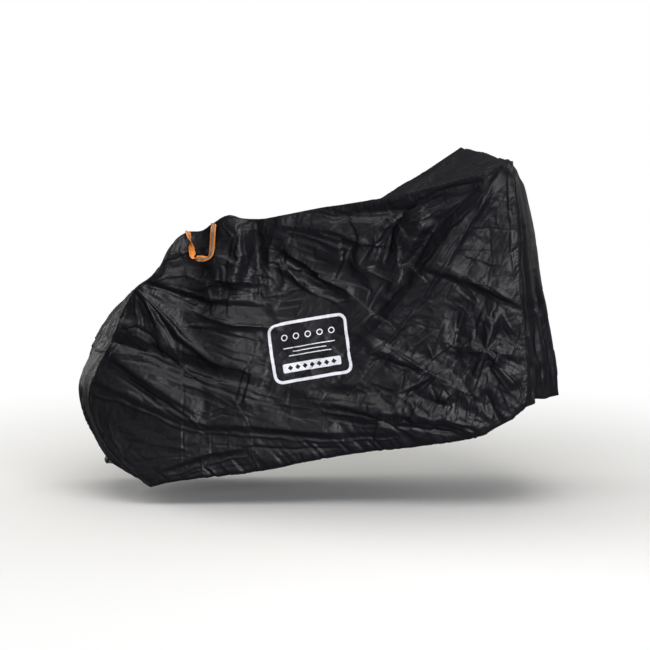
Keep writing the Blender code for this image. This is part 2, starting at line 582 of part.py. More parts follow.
# Normals out of the cloth, shared where two pieces meet, so that their edges are mitred.
near_normals = surface_normals(near_side)
far_normals = -surface_normals(far_side)
strip_normals = surface_normals(strip)
places_up = np.arange(TALL_STEPS + 1)
places_along = np.arange(LONG_STEPS + 1)
rim_rows = np.concatenate([places_up, np.full(LONG_STEPS, TALL_STEPS), places_up[-2::-1]])
rim_columns = np.concatenate([
    np.full(TALL_STEPS + 1, LONG_STEPS), places_along[-2::-1], np.zeros(TALL_STEPS, int),
])
rim = (rim_rows, rim_columns)
near_back, far_back, strip_back = (np.zeros_like(grid) for grid in (near_side, far_side, strip))
for panel, normals, back, column, side in (
    (near_side, near_normals, near_back, 0, 1),
    (far_side, far_normals, far_back, -1, -1),
):
    back[rim] = set_back(panel[rim], normals[rim], side)
    strip_back[:, column] = set_back(strip[:, column], strip_normals[:, column], -side)
    shared = normals[rim] + strip_normals[:, column]
    shared /= np.linalg.norm(shared, axis=1, keepdims=True)
    lean = np.sum(shared * normals[rim], axis=1, keepdims=True)
    longer = 1.0 / np.clip(lean, LEAST_MITRE, 1.0)
    normals[rim] = shared * longer
    strip_normals[:, column] = shared * longer

# Thickness, more over the hem's two rows.
hem_rows = np.zeros(TALL_STEPS + 1)
hem_rows[:2] = HEM_EXTRA
panel_thick = (CLOTH + hem_rows)[:, None, None]
strip_thick = CLOTH + np.concatenate([hem_rows, np.zeros(LONG_STEPS - 1), hem_rows[::-1]])

near_taffeta = cloth_material("near_taffeta", (0.013, 0.014, 0.018), 0.42)
far_taffeta = cloth_material("far_taffeta", (0.013, 0.014, 0.018), 0.42)
strip_taffeta = cloth_material("strip_taffeta", (0.012, 0.013, 0.016), 0.42)
loop_webbing = cloth_material("loop_webbing", (0.80, 0.20, 0.03), 0.55)

for name, grid, back, normals, thick, material in (
    ("near_side_panel", near_side, near_back, near_normals, panel_thick, near_taffeta),
    ("far_side_panel", far_side, far_back, far_normals, panel_thick, far_taffeta),
    ("centre_strip", strip, strip_back, strip_normals, strip_thick[:, None, None], strip_taffeta),
):
    closed_sheet(name, grid + back, grid + back - normals * thick, material, cover)

webbing_loop(near_side, "pull_loop", loop_webbing, cover)
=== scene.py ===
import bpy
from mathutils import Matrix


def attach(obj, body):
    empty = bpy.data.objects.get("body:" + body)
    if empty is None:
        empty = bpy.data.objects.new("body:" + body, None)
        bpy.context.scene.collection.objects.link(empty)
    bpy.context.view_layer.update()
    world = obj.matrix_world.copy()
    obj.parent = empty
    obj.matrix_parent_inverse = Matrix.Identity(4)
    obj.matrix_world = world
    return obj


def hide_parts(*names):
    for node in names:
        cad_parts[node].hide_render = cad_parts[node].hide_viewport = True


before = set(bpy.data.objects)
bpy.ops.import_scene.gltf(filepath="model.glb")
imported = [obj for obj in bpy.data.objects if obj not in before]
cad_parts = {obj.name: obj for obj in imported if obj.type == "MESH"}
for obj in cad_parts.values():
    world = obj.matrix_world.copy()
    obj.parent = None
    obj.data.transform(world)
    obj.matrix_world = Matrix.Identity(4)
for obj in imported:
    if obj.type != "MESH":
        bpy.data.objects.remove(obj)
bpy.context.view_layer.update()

from collections import namedtuple
import math

import bpy
import numpy as np
from mathutils import Vector

bpy.ops.object.select_all(action="DESELECT")


# ---- Near side panel ---------------------------------------------------------------------------
# One piece of black polyester taffeta, coated inside, sewn to the strip along its front, top and
# rear. It hangs from the top seam and is turned over an elastic along its hem. Its seams were cut
# straight, and all that shows on it is a fold, a crease from wear or one from the packing bag.

MM = 1000.0               # millimetres in a metre
MOUNT_HEIGHT = 0.925      # ground to the origin; heights in the tables are above the ground
CLOTH_THICK = 0.0008      # drawn thicker than the real 0.1 mm, so that the sheet has two skins
HEM_TALL = 0.024
HEM_CURL = 0.012
NEAR_LONG = 330           # faces along the panel
NEAR_TALL = 232           # faces up it
HEM_ROWS = 4              # rows of faces up a panel's hem
NEAR_SEED = 11            # where its random draws start
NEAR_CRUMPLED = 0.55      # how much of its crumpling, as tabled below, it shows
PRINT_MIDDLE = (103, 157)      # the row and column of the grid on which the print is centred

# Places on the edges, in millimetres: x, y and height. The top and the hem run from rear to front,
# the rear and the front edge from the hem up.
NEAR_TOP = np.array((
    (-670, -270, 753), (-625, -280, 789), (-585, -285, 822), (-561, -285, 867), (-536, -280, 912),
    (-508, -275, 942), (-480, -270, 957), (-433, -270, 961), (-394, -290, 987), (-330, -310, 1020),
    (-292, -300, 1009), (-244, -290, 1003), (-140, -300, 1021), (-17, -320, 1046), (86, -350, 1064),
    (207, -380, 1087), (292, -410, 1107), (393, -450, 1136), (493, -480, 1169), (587, -505, 1202),
    (636, -520, 1223),
)) / MM
NEAR_HEM = np.array((
    (-618, -270, 47), (-547, -280, 67), (-440, -285, 80), (-264, -290, 103), (-88, -300, 141),
    (88, -310, 173), (262, -325, 197), (436, -350, 223), (533, -370, 245), (609, -380, 285),
    (661, -385, 320), (703, -380, 354),
)) / MM
NEAR_REAR = np.array((
    (-618, -270, 47), (-751, -245, 165), (-805, -225, 248), (-837, -215, 382), (-796, -220, 490),
    (-752, -230, 567), (-730, -240, 636), (-670, -270, 753),
)) / MM
NEAR_FRONT = np.array((
    (703, -380, 354), (705, -390, 453), (692, -410, 596), (675, -430, 738), (659, -470, 984),
    (636, -520, 1223),
)) / MM

# Where the cloth stands out from the straight patch between its edges, or in (out below zero), in
# millimetres.
Belly = namedtuple("Belly", "x height reach_x reach_up out")
NEAR_BELLIES = [Belly(*(size / MM for size in row)) for row in (
    (300, 330, 330, 130, 62), (-430, 400, 300, 200, 20), (-50, 830, 260, 150, -50),
    (560, 700, 130, 300, -18),
)]


def in_metres(folds):
    """Folds whose points are given in millimetres, in metres."""
    return [(lean, [tuple(size / MM for size in point) for point in points]) for lean, points in folds]


def star(centre, *arms):
    """The points of folds that run out from one centre, arm after arm."""
    return [point for arm in arms for point in (centre, *arm)]


# Main folds: how much wider the slope on the left of the run is, then points of the run, each with
# the half width and the height there, which is below zero in a trough. All but the first are in
# millimetres.
NEAR_FOLDS = in_metres((
    (0.4, (
        (605, 1190, 34, 8), (523, 1089, 56, 32), (455, 1000, 74, 44), (386, 881, 86, 48),
        (320, 789, 90, 44), (231, 676, 90, 34), (127, 547, 80, 12))),
    (0.0, ((499, 1106, 40, -10), (390, 994, 56, -26), (290, 867, 60, -24), (210, 772, 50, -8))),
    (0.6, ((381, 851, 60, 8), (498, 809, 90, 26), (587, 771, 96, 28), (655, 735, 70, 10))),
    (0.3, star(
        (275, 1041, 40, -34), ((430, 1106, 36, -18), (596, 1178, 30, -4)),
        ((86, 1021, 34, -18), (-103, 1000, 30, -4)), ((203, 925, 40, -32), (176, 847, 40, -12)))),
    (0.0, ((340, 1000, 40, 12), (275, 880, 48, 20), (217, 738, 50, 8))),
    (0.3, ((-145, 985, 50, 10), (17, 975, 56, 16), (121, 930, 50, 18), (110, 850, 40, 8))),
    (0.55, ((-142, 893, 50, 14), (-76, 848, 66, 34), (0, 795, 66, 36), (73, 760, 50, 16))),
    (-0.2, ((-143, 858, 30, -10), (-73, 809, 34, -22), (3, 760, 34, -22), (66, 729, 30, -10))),
    (0.3, ((-145, 828, 40, 16), (-52, 768, 42, 26), (69, 734, 36, 10))),
    (0.0, ((-238, 990, 34, -14), (-231, 874, 38, -26), (-227, 738, 34, -10))),
    (0.0, ((-310, 980, 40, 10), (-298, 884, 45, 22), (-325, 789, 45, 14))),
    (0.3, ((-482, 738, 34, 16), (-379, 789, 40, 28), (-217, 779, 34, 12))),
    (-0.4, ((-603, 765, 34, -14), (-430, 702, 42, -28), (-217, 690, 36, -12))),
    (0.3, ((-465, 676, 34, 10), (-310, 635, 42, 28), (-172, 618, 36, 10))),
    (0.3, star(
        (-644, 751, 26, 8), ((-603, 652, 36, 20), (-568, 560, 34, 6)),
        ((-517, 601, 40, 26), (-379, 492, 42, 10)))),
    (-0.3, ((-775, 543, 30, 14), (-723, 625, 34, 20), (-654, 642, 30, 6))),
    (0.3, ((-734, 560, 34, -14), (-465, 475, 44, -26), (-207, 407, 40, -10))),
    (0.3, ((-740, 509, 34, 10), (-603, 413, 46, 28), (-465, 328, 42, 12))),
    (0.2, ((-800, 420, 30, 8), (-603, 345, 40, 18), (-448, 287, 42, 18), (-290, 262, 40, 5))),
    (0.3, ((-580, 116, 26, 8), (-430, 168, 34, 18), (-241, 208, 36, 6))),
    (0.4, ((-400, 287, 40, 4), (-217, 273, 48, 22), (34, 256, 48, 16), (241, 262, 40, 6))),
    (0.5, ((17, 355, 40, 8), (155, 342, 52, 26), (327, 331, 52, 28), (520, 287, 36, 10))),
    (0.0, ((-114, 413, 40, 8), (69, 390, 42, -20), (230, 410, 36, -10))),
    (0.2, ((396, 635, 40, 6), (300, 560, 46, 22), (207, 480, 40, 8))),
    (0.0, star(
        (558, 567, 40, 32), ((668, 543, 34, 10),), ((650, 447, 36, 12),), ((517, 440, 36, 10),),
        ((430, 575, 36, 8),), ((592, 686, 34, 8),))),
    (0.0, star(
        (362, 482, 44, 32), ((172, 560, 36, 6),), ((241, 413, 36, 10),), ((465, 424, 36, 10),))),
    (0.0, ((448, 590, 38, -20), (455, 690, 40, -22), (520, 772, 36, -8))),
    (0.0, ((310, 396, 30, -16), (413, 355, 30, -14))),
    (0.0, ((561, 396, 32, -20), (603, 311, 30, -12))),
))

# Sharp creases: how much wider the slope on the left of the run is, the half width and the height
# (below zero in a valley), then points of the run. Each fades out at both ends. All but the first
# are in millimetres.
NEAR_CREASES = (
    (0.3, 15, 6, ((593, 1188), (528, 1064), (463, 948), (400, 841), (343, 744), (268, 638), (185, 538))),
    (0.0, 16, -6, ((560, 1150), (495, 1066), (431, 1002), (369, 912), (278, 789), (209, 716), (142, 648))),
    (0.2, 8, -5, ((534, 1152), (443, 1129), (383, 1110), (327, 1084), (280, 1047))),
    (-0.2, 7, 4, ((514, 1130), (427, 1107), (360, 1085), (296, 1051))),
    (0.2, 8, -4, ((521, 1118), (444, 1095), (387, 1072), (320, 1049), (287, 1030))),
    (0.0, 7, -4, ((-59, 1028), (52, 1016), (156, 1016), (256, 1031))),
    (0.0, 6, 3, ((-11, 997), (69, 992), (155, 996), (238, 1019))),
    (0.0, 5, -3, ((-25, 1007), (86, 1005), (175, 1007), (239, 1026))),
    (0.3, 7, -4, ((70, 930), (129, 964), (200, 1001), (245, 1022))),
    (0.0, 10, -8, ((265, 1030), (236, 979), (229, 916), (208, 856))),
    (0.0, 8, -6, ((227, 1002), (194, 941), (149, 895), (128, 858))),
    (0.0, 7, 6, ((237, 1008), (212, 944), (188, 890), (173, 855))),
    (0.3, 6, 4, ((205, 852), (149, 840), (95, 807))),
    (0.0, 5, -3, ((162, 843), (253, 854), (315, 862))),
    (0.0, 9, 4, ((276, 1002), (252, 937), (260, 876), (233, 815))),
    (0.0, 5, -2.5, ((475, 988), (565, 989), (646, 983))),
    (0.0, 5, -2.5, ((443, 912), (550, 909), (641, 906))),
    (0.0, 4, -2, ((552, 1071), (559, 982), (570, 890), (558, 796))),
    (0.4, 8, 6, ((548, 795), (603, 763), (658, 726))),
    (0.0, 8, -5, ((549, 768), (600, 738), (644, 723))),
    (0.0, 6, -4, ((638, 1171), (647, 1071), (661, 949), (674, 738), (689, 560))),
    (0.0, 6, 3, ((620, 1185), (631, 1035), (644, 877), (654, 755))),
    (0.0, 5, 3, ((507, 1040), (488, 990), (456, 914))),
    (0.0, 4, 2.5, ((586, 1069), (585, 1009), (599, 989))),
    (0.0, 5, 3.5, ((468, 833), (517, 796), (555, 792))),
    (0.0, 5, 3.5, ((454, 809), (504, 765), (528, 724))),
    (0.0, 5, -3, ((462, 820), (514, 777))),
    (0.0, 5, 3.5, ((446, 772), (505, 731), (522, 686))),
    (0.0, 5, -3, ((451, 788), (501, 743), (514, 702))),
    (0.0, 5, 3, ((432, 733), (475, 704), (495, 671))),
    (0.0, 4, 3, ((430, 701), (437, 633), (457, 601), (486, 608))),
    (0.0, 4, -3, ((450, 700), (455, 639), (482, 624))),
    (0.0, 6, -3, ((302, 652), (348, 632), (399, 628))),
    (0.0, 5, 3, ((475, 653), (520, 639), (551, 658))),
    (0.2, 7, 6, ((563, 562), (620, 582), (679, 561))),
    (0.0, 6, -5, ((569, 552), (622, 559), (678, 537))),
    (0.0, 7, 5, ((568, 547), (623, 522), (683, 486))),
    (0.0, 8, -7, ((568, 525), (623, 489), (677, 428), (693, 375))),
    (0.0, 7, 5, ((564, 518), (608, 461), (650, 397))),
    (0.0, 7, -6, ((558, 518), (537, 454), (511, 393))),
    (0.0, 6, 5, ((564, 518), (569, 452), (553, 378))),
    (0.0, 6, -5, ((571, 570), (588, 630), (581, 689), (598, 734))),
    (0.0, 6, 5, ((560, 572), (566, 631), (543, 683))),
    (0.0, 6, 4, ((553, 558), (495, 556), (441, 546))),
    (0.0, 6, -4, ((549, 575), (502, 598), (462, 581), (427, 580))),
    (0.0, 6, 4, ((547, 542), (503, 516), (469, 460), (457, 411))),
    (0.0, 6, 5, ((612, 699), (633, 649), (660, 610))),
    (0.0, 5, -4, ((598, 692), (615, 636), (640, 596))),
    (0.0, 5, 3, ((606, 658), (655, 673))),
    (0.0, 7, 5, ((363, 473), (309, 507), (254, 544), (205, 566))),
    (0.0, 7, -5, ((359, 461), (296, 484), (235, 511), (185, 515))),
    (0.3, 8, 6, ((365, 462), (302, 430), (233, 395), (185, 400))),
    (0.0, 9, -7, ((356, 444), (302, 403), (254, 362))),
    (0.0, 6, 4, ((363, 473), (380, 520), (357, 572))),
    (0.0, 6, -4, ((376, 459), (424, 443), (476, 425))),
    (0.0, 6, 4, ((375, 465), (425, 487), (462, 529))),
    (0.0, 7, 6, ((366, 437), (344, 389), (310, 340))),
    (0.0, 7, -5, ((372, 430), (386, 379), (365, 327))),
    (0.0, 7, 6, ((414, 421), (397, 373), (380, 325))),
    (0.0, 7, -5, ((424, 410), (437, 360), (422, 312))),
    (0.0, 7, 6, ((472, 425), (463, 366), (453, 311))),
    (0.0, 6, 5, ((476, 418), (502, 369), (490, 304))),
    (0.0, 6, -5, ((490, 424), (517, 389), (505, 325))),
    (0.0, 6, 5, ((525, 390), (532, 339), (512, 282))),
    (0.0, 6, -4, ((554, 394), (562, 346), (539, 289))),
    (0.0, 6, 4, ((580, 410), (595, 352), (574, 296))),
    (0.0, 6, 4, ((622, 397), (640, 354), (624, 317))),
    (0.0, 6, -4, ((604, 425), (619, 376), (607, 324))),
    (0.0, 6, 4, ((656, 410), (672, 374))),
    (-0.4, 10, 7, ((-10, 331), (71, 323), (157, 311), (262, 327), (366, 310), (464, 283), (534, 262))),
    (0.0, 10, -6, ((18, 300), (156, 285), (298, 286), (438, 257), (520, 240))),
    (0.0, 7, 3, ((210, 286), (248, 260), (263, 241))),
    (0.0, 8, -3, ((-88, 376), (52, 365), (193, 361), (280, 374))),
    (0.0, 5, 3, ((53, 413), (85, 389), (111, 414), (150, 399))),
    (0.0, 6, 4, ((164, 435), (220, 419), (269, 414))),
    (0.0, 8, 4, ((98, 559), (150, 596), (219, 662), (274, 704))),
    (0.0, 8, -4, ((97, 615), (164, 667), (232, 729))),
    (0.0, 7, 3, ((95, 506), (165, 540), (220, 552))),
    (0.4, 10, 8, ((-137, 830), (-87, 775), (-24, 732), (46, 709), (101, 725))),
    (0.0, 13, -10, ((-127, 862), (-59, 818), (10, 770), (66, 748))),
    (-0.3, 10, 6, ((-130, 960), (-24, 939), (84, 904), (72, 848), (38, 792))),
    (0.0, 6, 3, ((-116, 930), (-24, 907), (45, 875))),
    (0.0, 6, 2.5, ((-108, 906), (-33, 881), (17, 854))),
    (0.0, 9, -5, ((94, 890), (115, 844), (86, 806))),
    (0.0, 6, 4, ((108, 808), (157, 829), (191, 810), (233, 793))),
    (0.0, 6, -4, ((123, 782), (164, 760), (150, 724))),
    (0.0, 6, 4, ((209, 788), (175, 739), (150, 689), (109, 668))),
    (0.0, 7, -5, ((-146, 909), (-144, 850), (-132, 791))),
    (0.0, 6, 4, ((-164, 893), (-158, 836), (-143, 779))),
    (0.2, 7, 5, ((-228, 776), (-215, 730), (-152, 737), (-88, 762))),
    (0.0, 8, -6, ((-214, 713), (-151, 720), (-80, 756))),
    (0.0, 6, 5, ((-192, 702), (-129, 710), (-73, 720))),
    (0.0, 6, -5, ((-185, 689), (-123, 696), (-66, 707))),
    (0.0, 6, 4, ((-221, 835), (-193, 803), (-165, 766))),
    (0.0, 6, 3, ((-275, 960), (-280, 896), (-274, 852), (-249, 815))),
    (0.0, 7, -5, ((-317, 953), (-337, 904), (-353, 882))),
    (0.0, 7, 4, ((-358, 981), (-329, 940), (-359, 925))),
    (0.0, 5, 3, ((-342, 854), (-335, 820), (-338, 785))),
    (0.0, 5, -4, ((-377, 853), (-371, 818), (-373, 781))),
    (0.0, 6, 4, ((-234, 730), (-237, 793), (-231, 848))),
    (0.2, 7, 4, ((-605, 785), (-538, 798), (-488, 803), (-435, 785))),
    (0.0, 7, -4, ((-579, 770), (-491, 758), (-439, 745))),
    (0.3, 8, 5, ((-475, 756), (-388, 773), (-291, 757))),
    (0.0, 6, -5, ((-421, 741), (-347, 748), (-287, 757))),
    (0.3, 8, 5, ((-470, 687), (-418, 709), (-318, 730), (-236, 748))),
    (0.0, 8, -4, ((-439, 722), (-360, 741), (-262, 745))),
    (0.3, 8, 6, ((-464, 678), (-389, 650), (-311, 629), (-217, 625))),
    (0.0, 10, -6, ((-425, 615), (-334, 590), (-222, 570))),
    (0.0, 7, 4, ((-418, 576), (-326, 545), (-221, 521))),
    (0.0, 8, -4, ((-397, 536), (-305, 504), (-214, 486))),
    (0.0, 6, 4, ((-487, 850), (-507, 894), (-497, 929))),
    (0.0, 6, -4, ((-467, 829), (-421, 837), (-381, 825))),
    (0.0, 6, 4, ((-438, 784), (-420, 817), (-387, 831))),
    (0.2, 7, 5, ((-662, 749), (-610, 678), (-565, 596), (-516, 512))),
    (0.0, 6, -6, ((-663, 739), (-624, 678), (-586, 597), (-553, 538))),
    (0.2, 7, 5, ((-655, 750), (-579, 672), (-495, 576), (-397, 501))),
    (0.0, 7, -6, ((-655, 757), (-566, 676), (-475, 580), (-418, 535))),
    (0.2, 7, 5, ((-648, 761), (-580, 743), (-511, 714), (-431, 677))),
    (0.0, 7, -4, ((-634, 747), (-559, 716), (-480, 673))),
    (0.0, 5, 4, ((-666, 735), (-665, 674), (-655, 594))),
    (0.0, 5, -4, ((-659, 731), (-645, 666), (-633, 603))),
    (0.0, 5, 3, ((-685, 723), (-708, 665), (-729, 610))),
    (0.3, 7, -6, ((-793, 495), (-752, 565), (-714, 608), (-665, 619), (-619, 595), (-588, 552))),
    (0.0, 7, 4, ((-782, 477), (-734, 549), (-702, 582), (-658, 591), (-624, 567))),
    (0.0, 5, 3, ((-617, 556), (-582, 537), (-553, 498))),
    (0.0, 5, 3, ((-517, 557), (-510, 513), (-518, 482))),
    (0.0, 5, 3, ((-475, 538), (-441, 497), (-397, 490))),
    (0.0, 5, -3, ((-454, 512), (-418, 476), (-362, 463))),
    (0.0, 5, 3, ((-384, 463), (-354, 429), (-313, 422))),
    (0.0, 5, 3, ((-333, 410), (-319, 366), (-299, 331))),
    (0.3, 10, 5, ((-752, 524), (-617, 509), (-474, 458), (-316, 417), (-151, 371))),
    (0.0, 9, -5, ((-731, 504), (-616, 489), (-475, 433), (-327, 390), (-180, 353))),
    (0.3, 8, 4, ((-616, 452), (-511, 419), (-406, 390), (-299, 335))),
    (0.0, 8, -4, ((-629, 438), (-538, 407), (-447, 370))),
    (0.3, 9, 5, ((-759, 481), (-654, 421), (-567, 367), (-481, 306), (-440, 266))),
    (0.0, 8, -5, ((-767, 463), (-659, 395), (-581, 341), (-503, 290))),
    (0.4, 9, 6, ((-837, 374), (-725, 353), (-618, 313), (-518, 265), (-433, 246))),
    (0.0, 5, 3, ((-490, 344), (-426, 322), (-362, 344), (-298, 338))),
    (0.0, 5, -3, ((-468, 317), (-419, 297), (-363, 319), (-313, 309))),
    (0.0, 5, 3, ((-489, 392), (-468, 358), (-482, 324))),
    (0.0, 6, 3, ((-222, 352), (-140, 353), (-46, 336))),
    (0.0, 6, -3, ((-221, 324), (-123, 311), (-18, 299))),
    (0.0, 8, 5, ((-440, 248), (-335, 244), (-222, 235), (-18, 222), (246, 238))),
    (0.0, 9, -4, ((-398, 207), (-222, 197), (-53, 193), (123, 201))),
    (0.0, 7, 4, ((-612, 70), (-530, 98), (-441, 128), (-342, 151), (-243, 171))),
    (0.0, 7, -4, ((-599, 55), (-442, 104), (-329, 122), (-224, 140))),
    (0.0, 6, 3, ((-497, 128), (-455, 169), (-420, 198))),
    (0.0, 4, -2, ((-496, 713), (-504, 540), (-496, 364), (-505, 221), (-499, 107))),
    (0.0, 4, -1, ((-398, 278), (-401, 195), (-399, 115))),
    (0.0, 4, -1.5, ((-619, 151), (-512, 158), (-399, 146))),
    (0.0, 5, 2, ((-765, 271), (-751, 214), (-719, 159))),
    (0.0, 4, -1.5, ((-17, 964), (-10, 754))),
    (0.0, 4, -1.5, ((261, 622), (269, 450), (264, 231))),
)

# Where the cloth is crumpled into facets, in metres: the middle and reach of each patch, the way its
# creases run (degrees from the front, up), how many times longer than wide the facets are, how wide
# they are and how steeply they tilt.
Patch = namedtuple("Patch", "x height reach_x reach_up way stretch wide tilt")
NEAR_CRUMPLES = [Patch(*row) for row in (
    (0.470, 0.900, 0.190, 0.240, 56, 3.2, 0.050, 0.11),     # below the front corner, along its fold
    (0.250, 1.020, 0.170, 0.110, 30, 2.2, 0.036, 0.26),     # around the dimple
    (0.050, 0.890, 0.200, 0.120, -12, 2.0, 0.052, 0.18),    # the swag
    (-0.240, 0.850, 0.150, 0.140, 80, 1.6, 0.036, 0.26),    # under the rear hump
    (-0.430, 0.820, 0.140, 0.110, 15, 1.8, 0.040, 0.24),    # under the loop
    (-0.350, 0.660, 0.240, 0.100, -4, 2.8, 0.048, 0.20),    # the lens folds
    (-0.600, 0.560, 0.190, 0.130, -38, 3.0, 0.046, 0.20),   # the fan from the rear corner
    (-0.450, 0.380, 0.280, 0.110, -20, 3.4, 0.044, 0.18),   # the long folds over the flank
    (-0.560, 0.180, 0.200, 0.120, -30, 1.6, 0.090, 0.06),   # the smooth low rear
    (-0.100, 0.180, 0.300, 0.090, 10, 2.8, 0.060, 0.10),    # along the hem
    (0.020, 0.560, 0.220, 0.160, 48, 1.8, 0.056, 0.14),     # around the print
    (0.560, 0.560, 0.130, 0.130, 70, 1.4, 0.030, 0.34),     # the front star
    (0.370, 0.480, 0.140, 0.110, 40, 1.4, 0.034, 0.32),     # the middle star
    (0.400, 0.330, 0.230, 0.080, -30, 1.5, 0.030, 0.34),    # the small pointed folds over the hem
    (0.180, 0.330, 0.170, 0.080, -8, 2.2, 0.040, 0.24),     # the shelf
    (0.600, 0.860, 0.060, 0.240, 85, 2.4, 0.036, 0.10),     # the facet along the front seam
)]


def smooth(at, knots, values):
    """Values at the places `at`, on a smooth curve through the values at the knots."""
    values = np.asarray(values, float)
    slopes = np.gradient(values, knots, axis=0)
    at = np.clip(at, knots[0], knots[-1])
    left = np.clip(np.searchsorted(knots, at, side="right") - 1, 0, len(knots) - 2)
    span = np.diff(knots)[left]
    part = (at - knots[left]) / span
    if values.ndim > 1:
        span, part = span[:, None], part[:, None]
    return (
        values[left] * (2 * part**3 - 3 * part**2 + 1)
        + slopes[left] * span * (part**3 - 2 * part**2 + part)
        + values[left + 1] * (3 * part**2 - 2 * part**3)
        + slopes[left + 1] * span * (part**3 - part**2)
    )


def run_lengths(points):
    """Length along a run of points, at each of them."""
    return np.concatenate([[0.0], np.cumsum(np.linalg.norm(np.diff(points, axis=0), axis=1))])


def edge_points(knots, shares):
    """Points on a smooth curve through the knots, at shares of its length."""
    places = run_lengths(knots)
    fine = smooth(np.linspace(0.0, places[-1], 800), places, knots)
    lengths = run_lengths(fine)
    wanted = np.asarray(shares) * lengths[-1]
    return np.stack([np.interp(wanted, lengths, fine[:, axis]) for axis in range(3)], axis=1)


def surface_normals(grid):
    """Unit normals of a grid of points, to the side from which rows run up and columns right."""
    normals = np.cross(np.gradient(grid, axis=1), np.gradient(grid, axis=0))
    return normals / np.linalg.norm(normals, axis=2, keepdims=True)


def fold_height(across, up, folds, round_crest=0.02, flare=1.5):
    """How far the folds raise the cloth at each place of a panel."""
    total = np.zeros_like(across)
    for lean, points in folds:
        best = np.zeros_like(across)
        for (x0, h0, wide0, tall0), (x1, h1, wide1, tall1) in zip(points, points[1:]):
            reach = 1.5 * max(wide0, wide1)
            near = ((across > min(x0, x1) - reach) & (across < max(x0, x1) + reach)
                    & (up > min(h0, h1) - reach) & (up < max(h0, h1) + reach))
            x, z = across[near] - x0, up[near] - h0
            run = math.hypot(x1 - x0, h1 - h0)
            way_x, way_up = (x1 - x0) / run, (h1 - h0) / run
            along, side = x * way_x + z * way_up, z * way_x - x * way_up
            share = np.clip(along / run, 0.0, 1.0)
            wide = wide0 + share * (wide1 - wide0)
            tall = tall0 + share * (tall1 - tall0)
            past = along - np.clip(along, 0.0, run)
            away = np.sqrt((side / (wide * (1.0 + lean * np.sign(side)))) ** 2 + (past / wide) ** 2
                           + round_crest)
            here = tall * np.clip(1.0 - away, 0.0, 1.0) ** flare
            best[near] = np.where(np.abs(here) > np.abs(best[near]), here, best[near])
        total += best
    return total


CREASE_END = 0.35         # how tall a crease still is at its ends
WANDER = 0.004            # how far it wanders from its run, and over what length
WANDER_LONG = 0.045
UNEVEN = 0.35             # how much its height varies, and over what length
UNEVEN_LONG = 0.035


def crease_height(across, up, creases, seed):
    """How far the sharp creases raise the cloth: no crease runs quite straight or is quite even."""
    folds = []
    for lean, wide, tall, points in creases:
        last = len(points) - 1
        fade = [CREASE_END if index in (0, last) else 1.0 for index in range(last + 1)]
        folds.append((lean, [(x / MM, height / MM, 0.001 * wide * (0.5 + 0.5 * part), 0.001 * tall * part)
                             for (x, height), part in zip(points, fade)]))
    bent_across = across + WANDER * soft_noise(across, up, WANDER_LONG, seed)
    bent_up = up + WANDER * soft_noise(across, up, WANDER_LONG, seed + 1)
    uneven = 1.0 + UNEVEN * soft_noise(across, up, UNEVEN_LONG, seed + 2)
    return fold_height(bent_across, bent_up, folds, round_crest=0.004, flare=1.15) * uneven


def soft_noise(across, up, size, seed):
    """Smooth random values from -1 to 1, with lumps about `size` wide."""
    rng = np.random.default_rng(seed)
    cells = rng.uniform(-1.0, 1.0, (64, 64))
    a, b = across / size + 1000.3, up / size + 1000.7
    i, j = np.floor(a).astype(int), np.floor(b).astype(int)
    fa, fb = a - i, b - j
    fa, fb = fa * fa * (3 - 2 * fa), fb * fb * (3 - 2 * fb)
    i0, i1, j0, j1 = i % 64, (i + 1) % 64, j % 64, (j + 1) % 64
    return (
        (cells[i0, j0] * (1 - fa) + cells[i1, j0] * fa) * (1 - fb)
        + (cells[i0, j1] * (1 - fa) + cells[i1, j1] * fa) * fb
    )


def facets(across, up, tilt, seed):
    """Heights of flat, tilted facets one unit wide that meet in creases, valleys between domes."""
    rng = np.random.default_rng(seed)
    jitter = rng.uniform(0.1, 0.9, (64, 64, 2))
    slopes = rng.normal(0.0, 1.0, (64, 64, 2)) * tilt
    heights = rng.uniform(-0.25, 0.25, (64, 64)) * tilt
    i, j = np.floor(across).astype(int), np.floor(up).astype(int)
    best = np.full(across.shape, -1e9)
    for di in range(-2, 3):
        for dj in range(-2, 3):
            ci, cj = (i + di) % 64, (j + dj) % 64
            dx = across - (i + di + jitter[ci, cj, 0])
            dy = up - (j + dj + jitter[ci, cj, 1])
            here = heights[ci, cj] + slopes[ci, cj, 0] * dx + slopes[ci, cj, 1] * dy
            best = np.maximum(best, here - 0.55 * tilt * (dx * dx + dy * dy))
    return best


def crumple_height(across, up, patches, seed):
    """How far the crumpled patches raise the cloth: ridges and valleys of two sizes, along each way."""
    total = np.zeros_like(across)
    for number, patch in enumerate(patches):
        away = ((across - patch.x) / patch.reach_x) ** 2 + ((up - patch.height) / patch.reach_up) ** 2
        weight = np.exp(-(away ** 1.3))
        near = weight > 0.015
        turn = math.radians(patch.way)
        x, z = across[near] - patch.x, up[near] - patch.height
        along = x * math.cos(turn) + z * math.sin(turn)
        side = z * math.cos(turn) - x * math.sin(turn)
        for size, share, sign in ((1.0, 1.0, -1), (0.93, 0.8, 1), (0.45, 0.5, -1), (0.4, 0.45, 1)):
            wide = patch.wide * size
            wave = seed + 40 * number + int(100 * size)
            warped = side + 0.25 * wide * soft_noise(along, side, 1.6 * wide, wave + 1)
            slid = along + 0.4 * wide * soft_noise(side, along, 1.3 * wide, wave + 2)
            raised = facets(slid / (wide * patch.stretch) + 500, warped / wide + 500,
                            patch.tilt * share, wave)
            total[near] += sign * wide * (raised - raised.mean()) * weight[near]
    return total


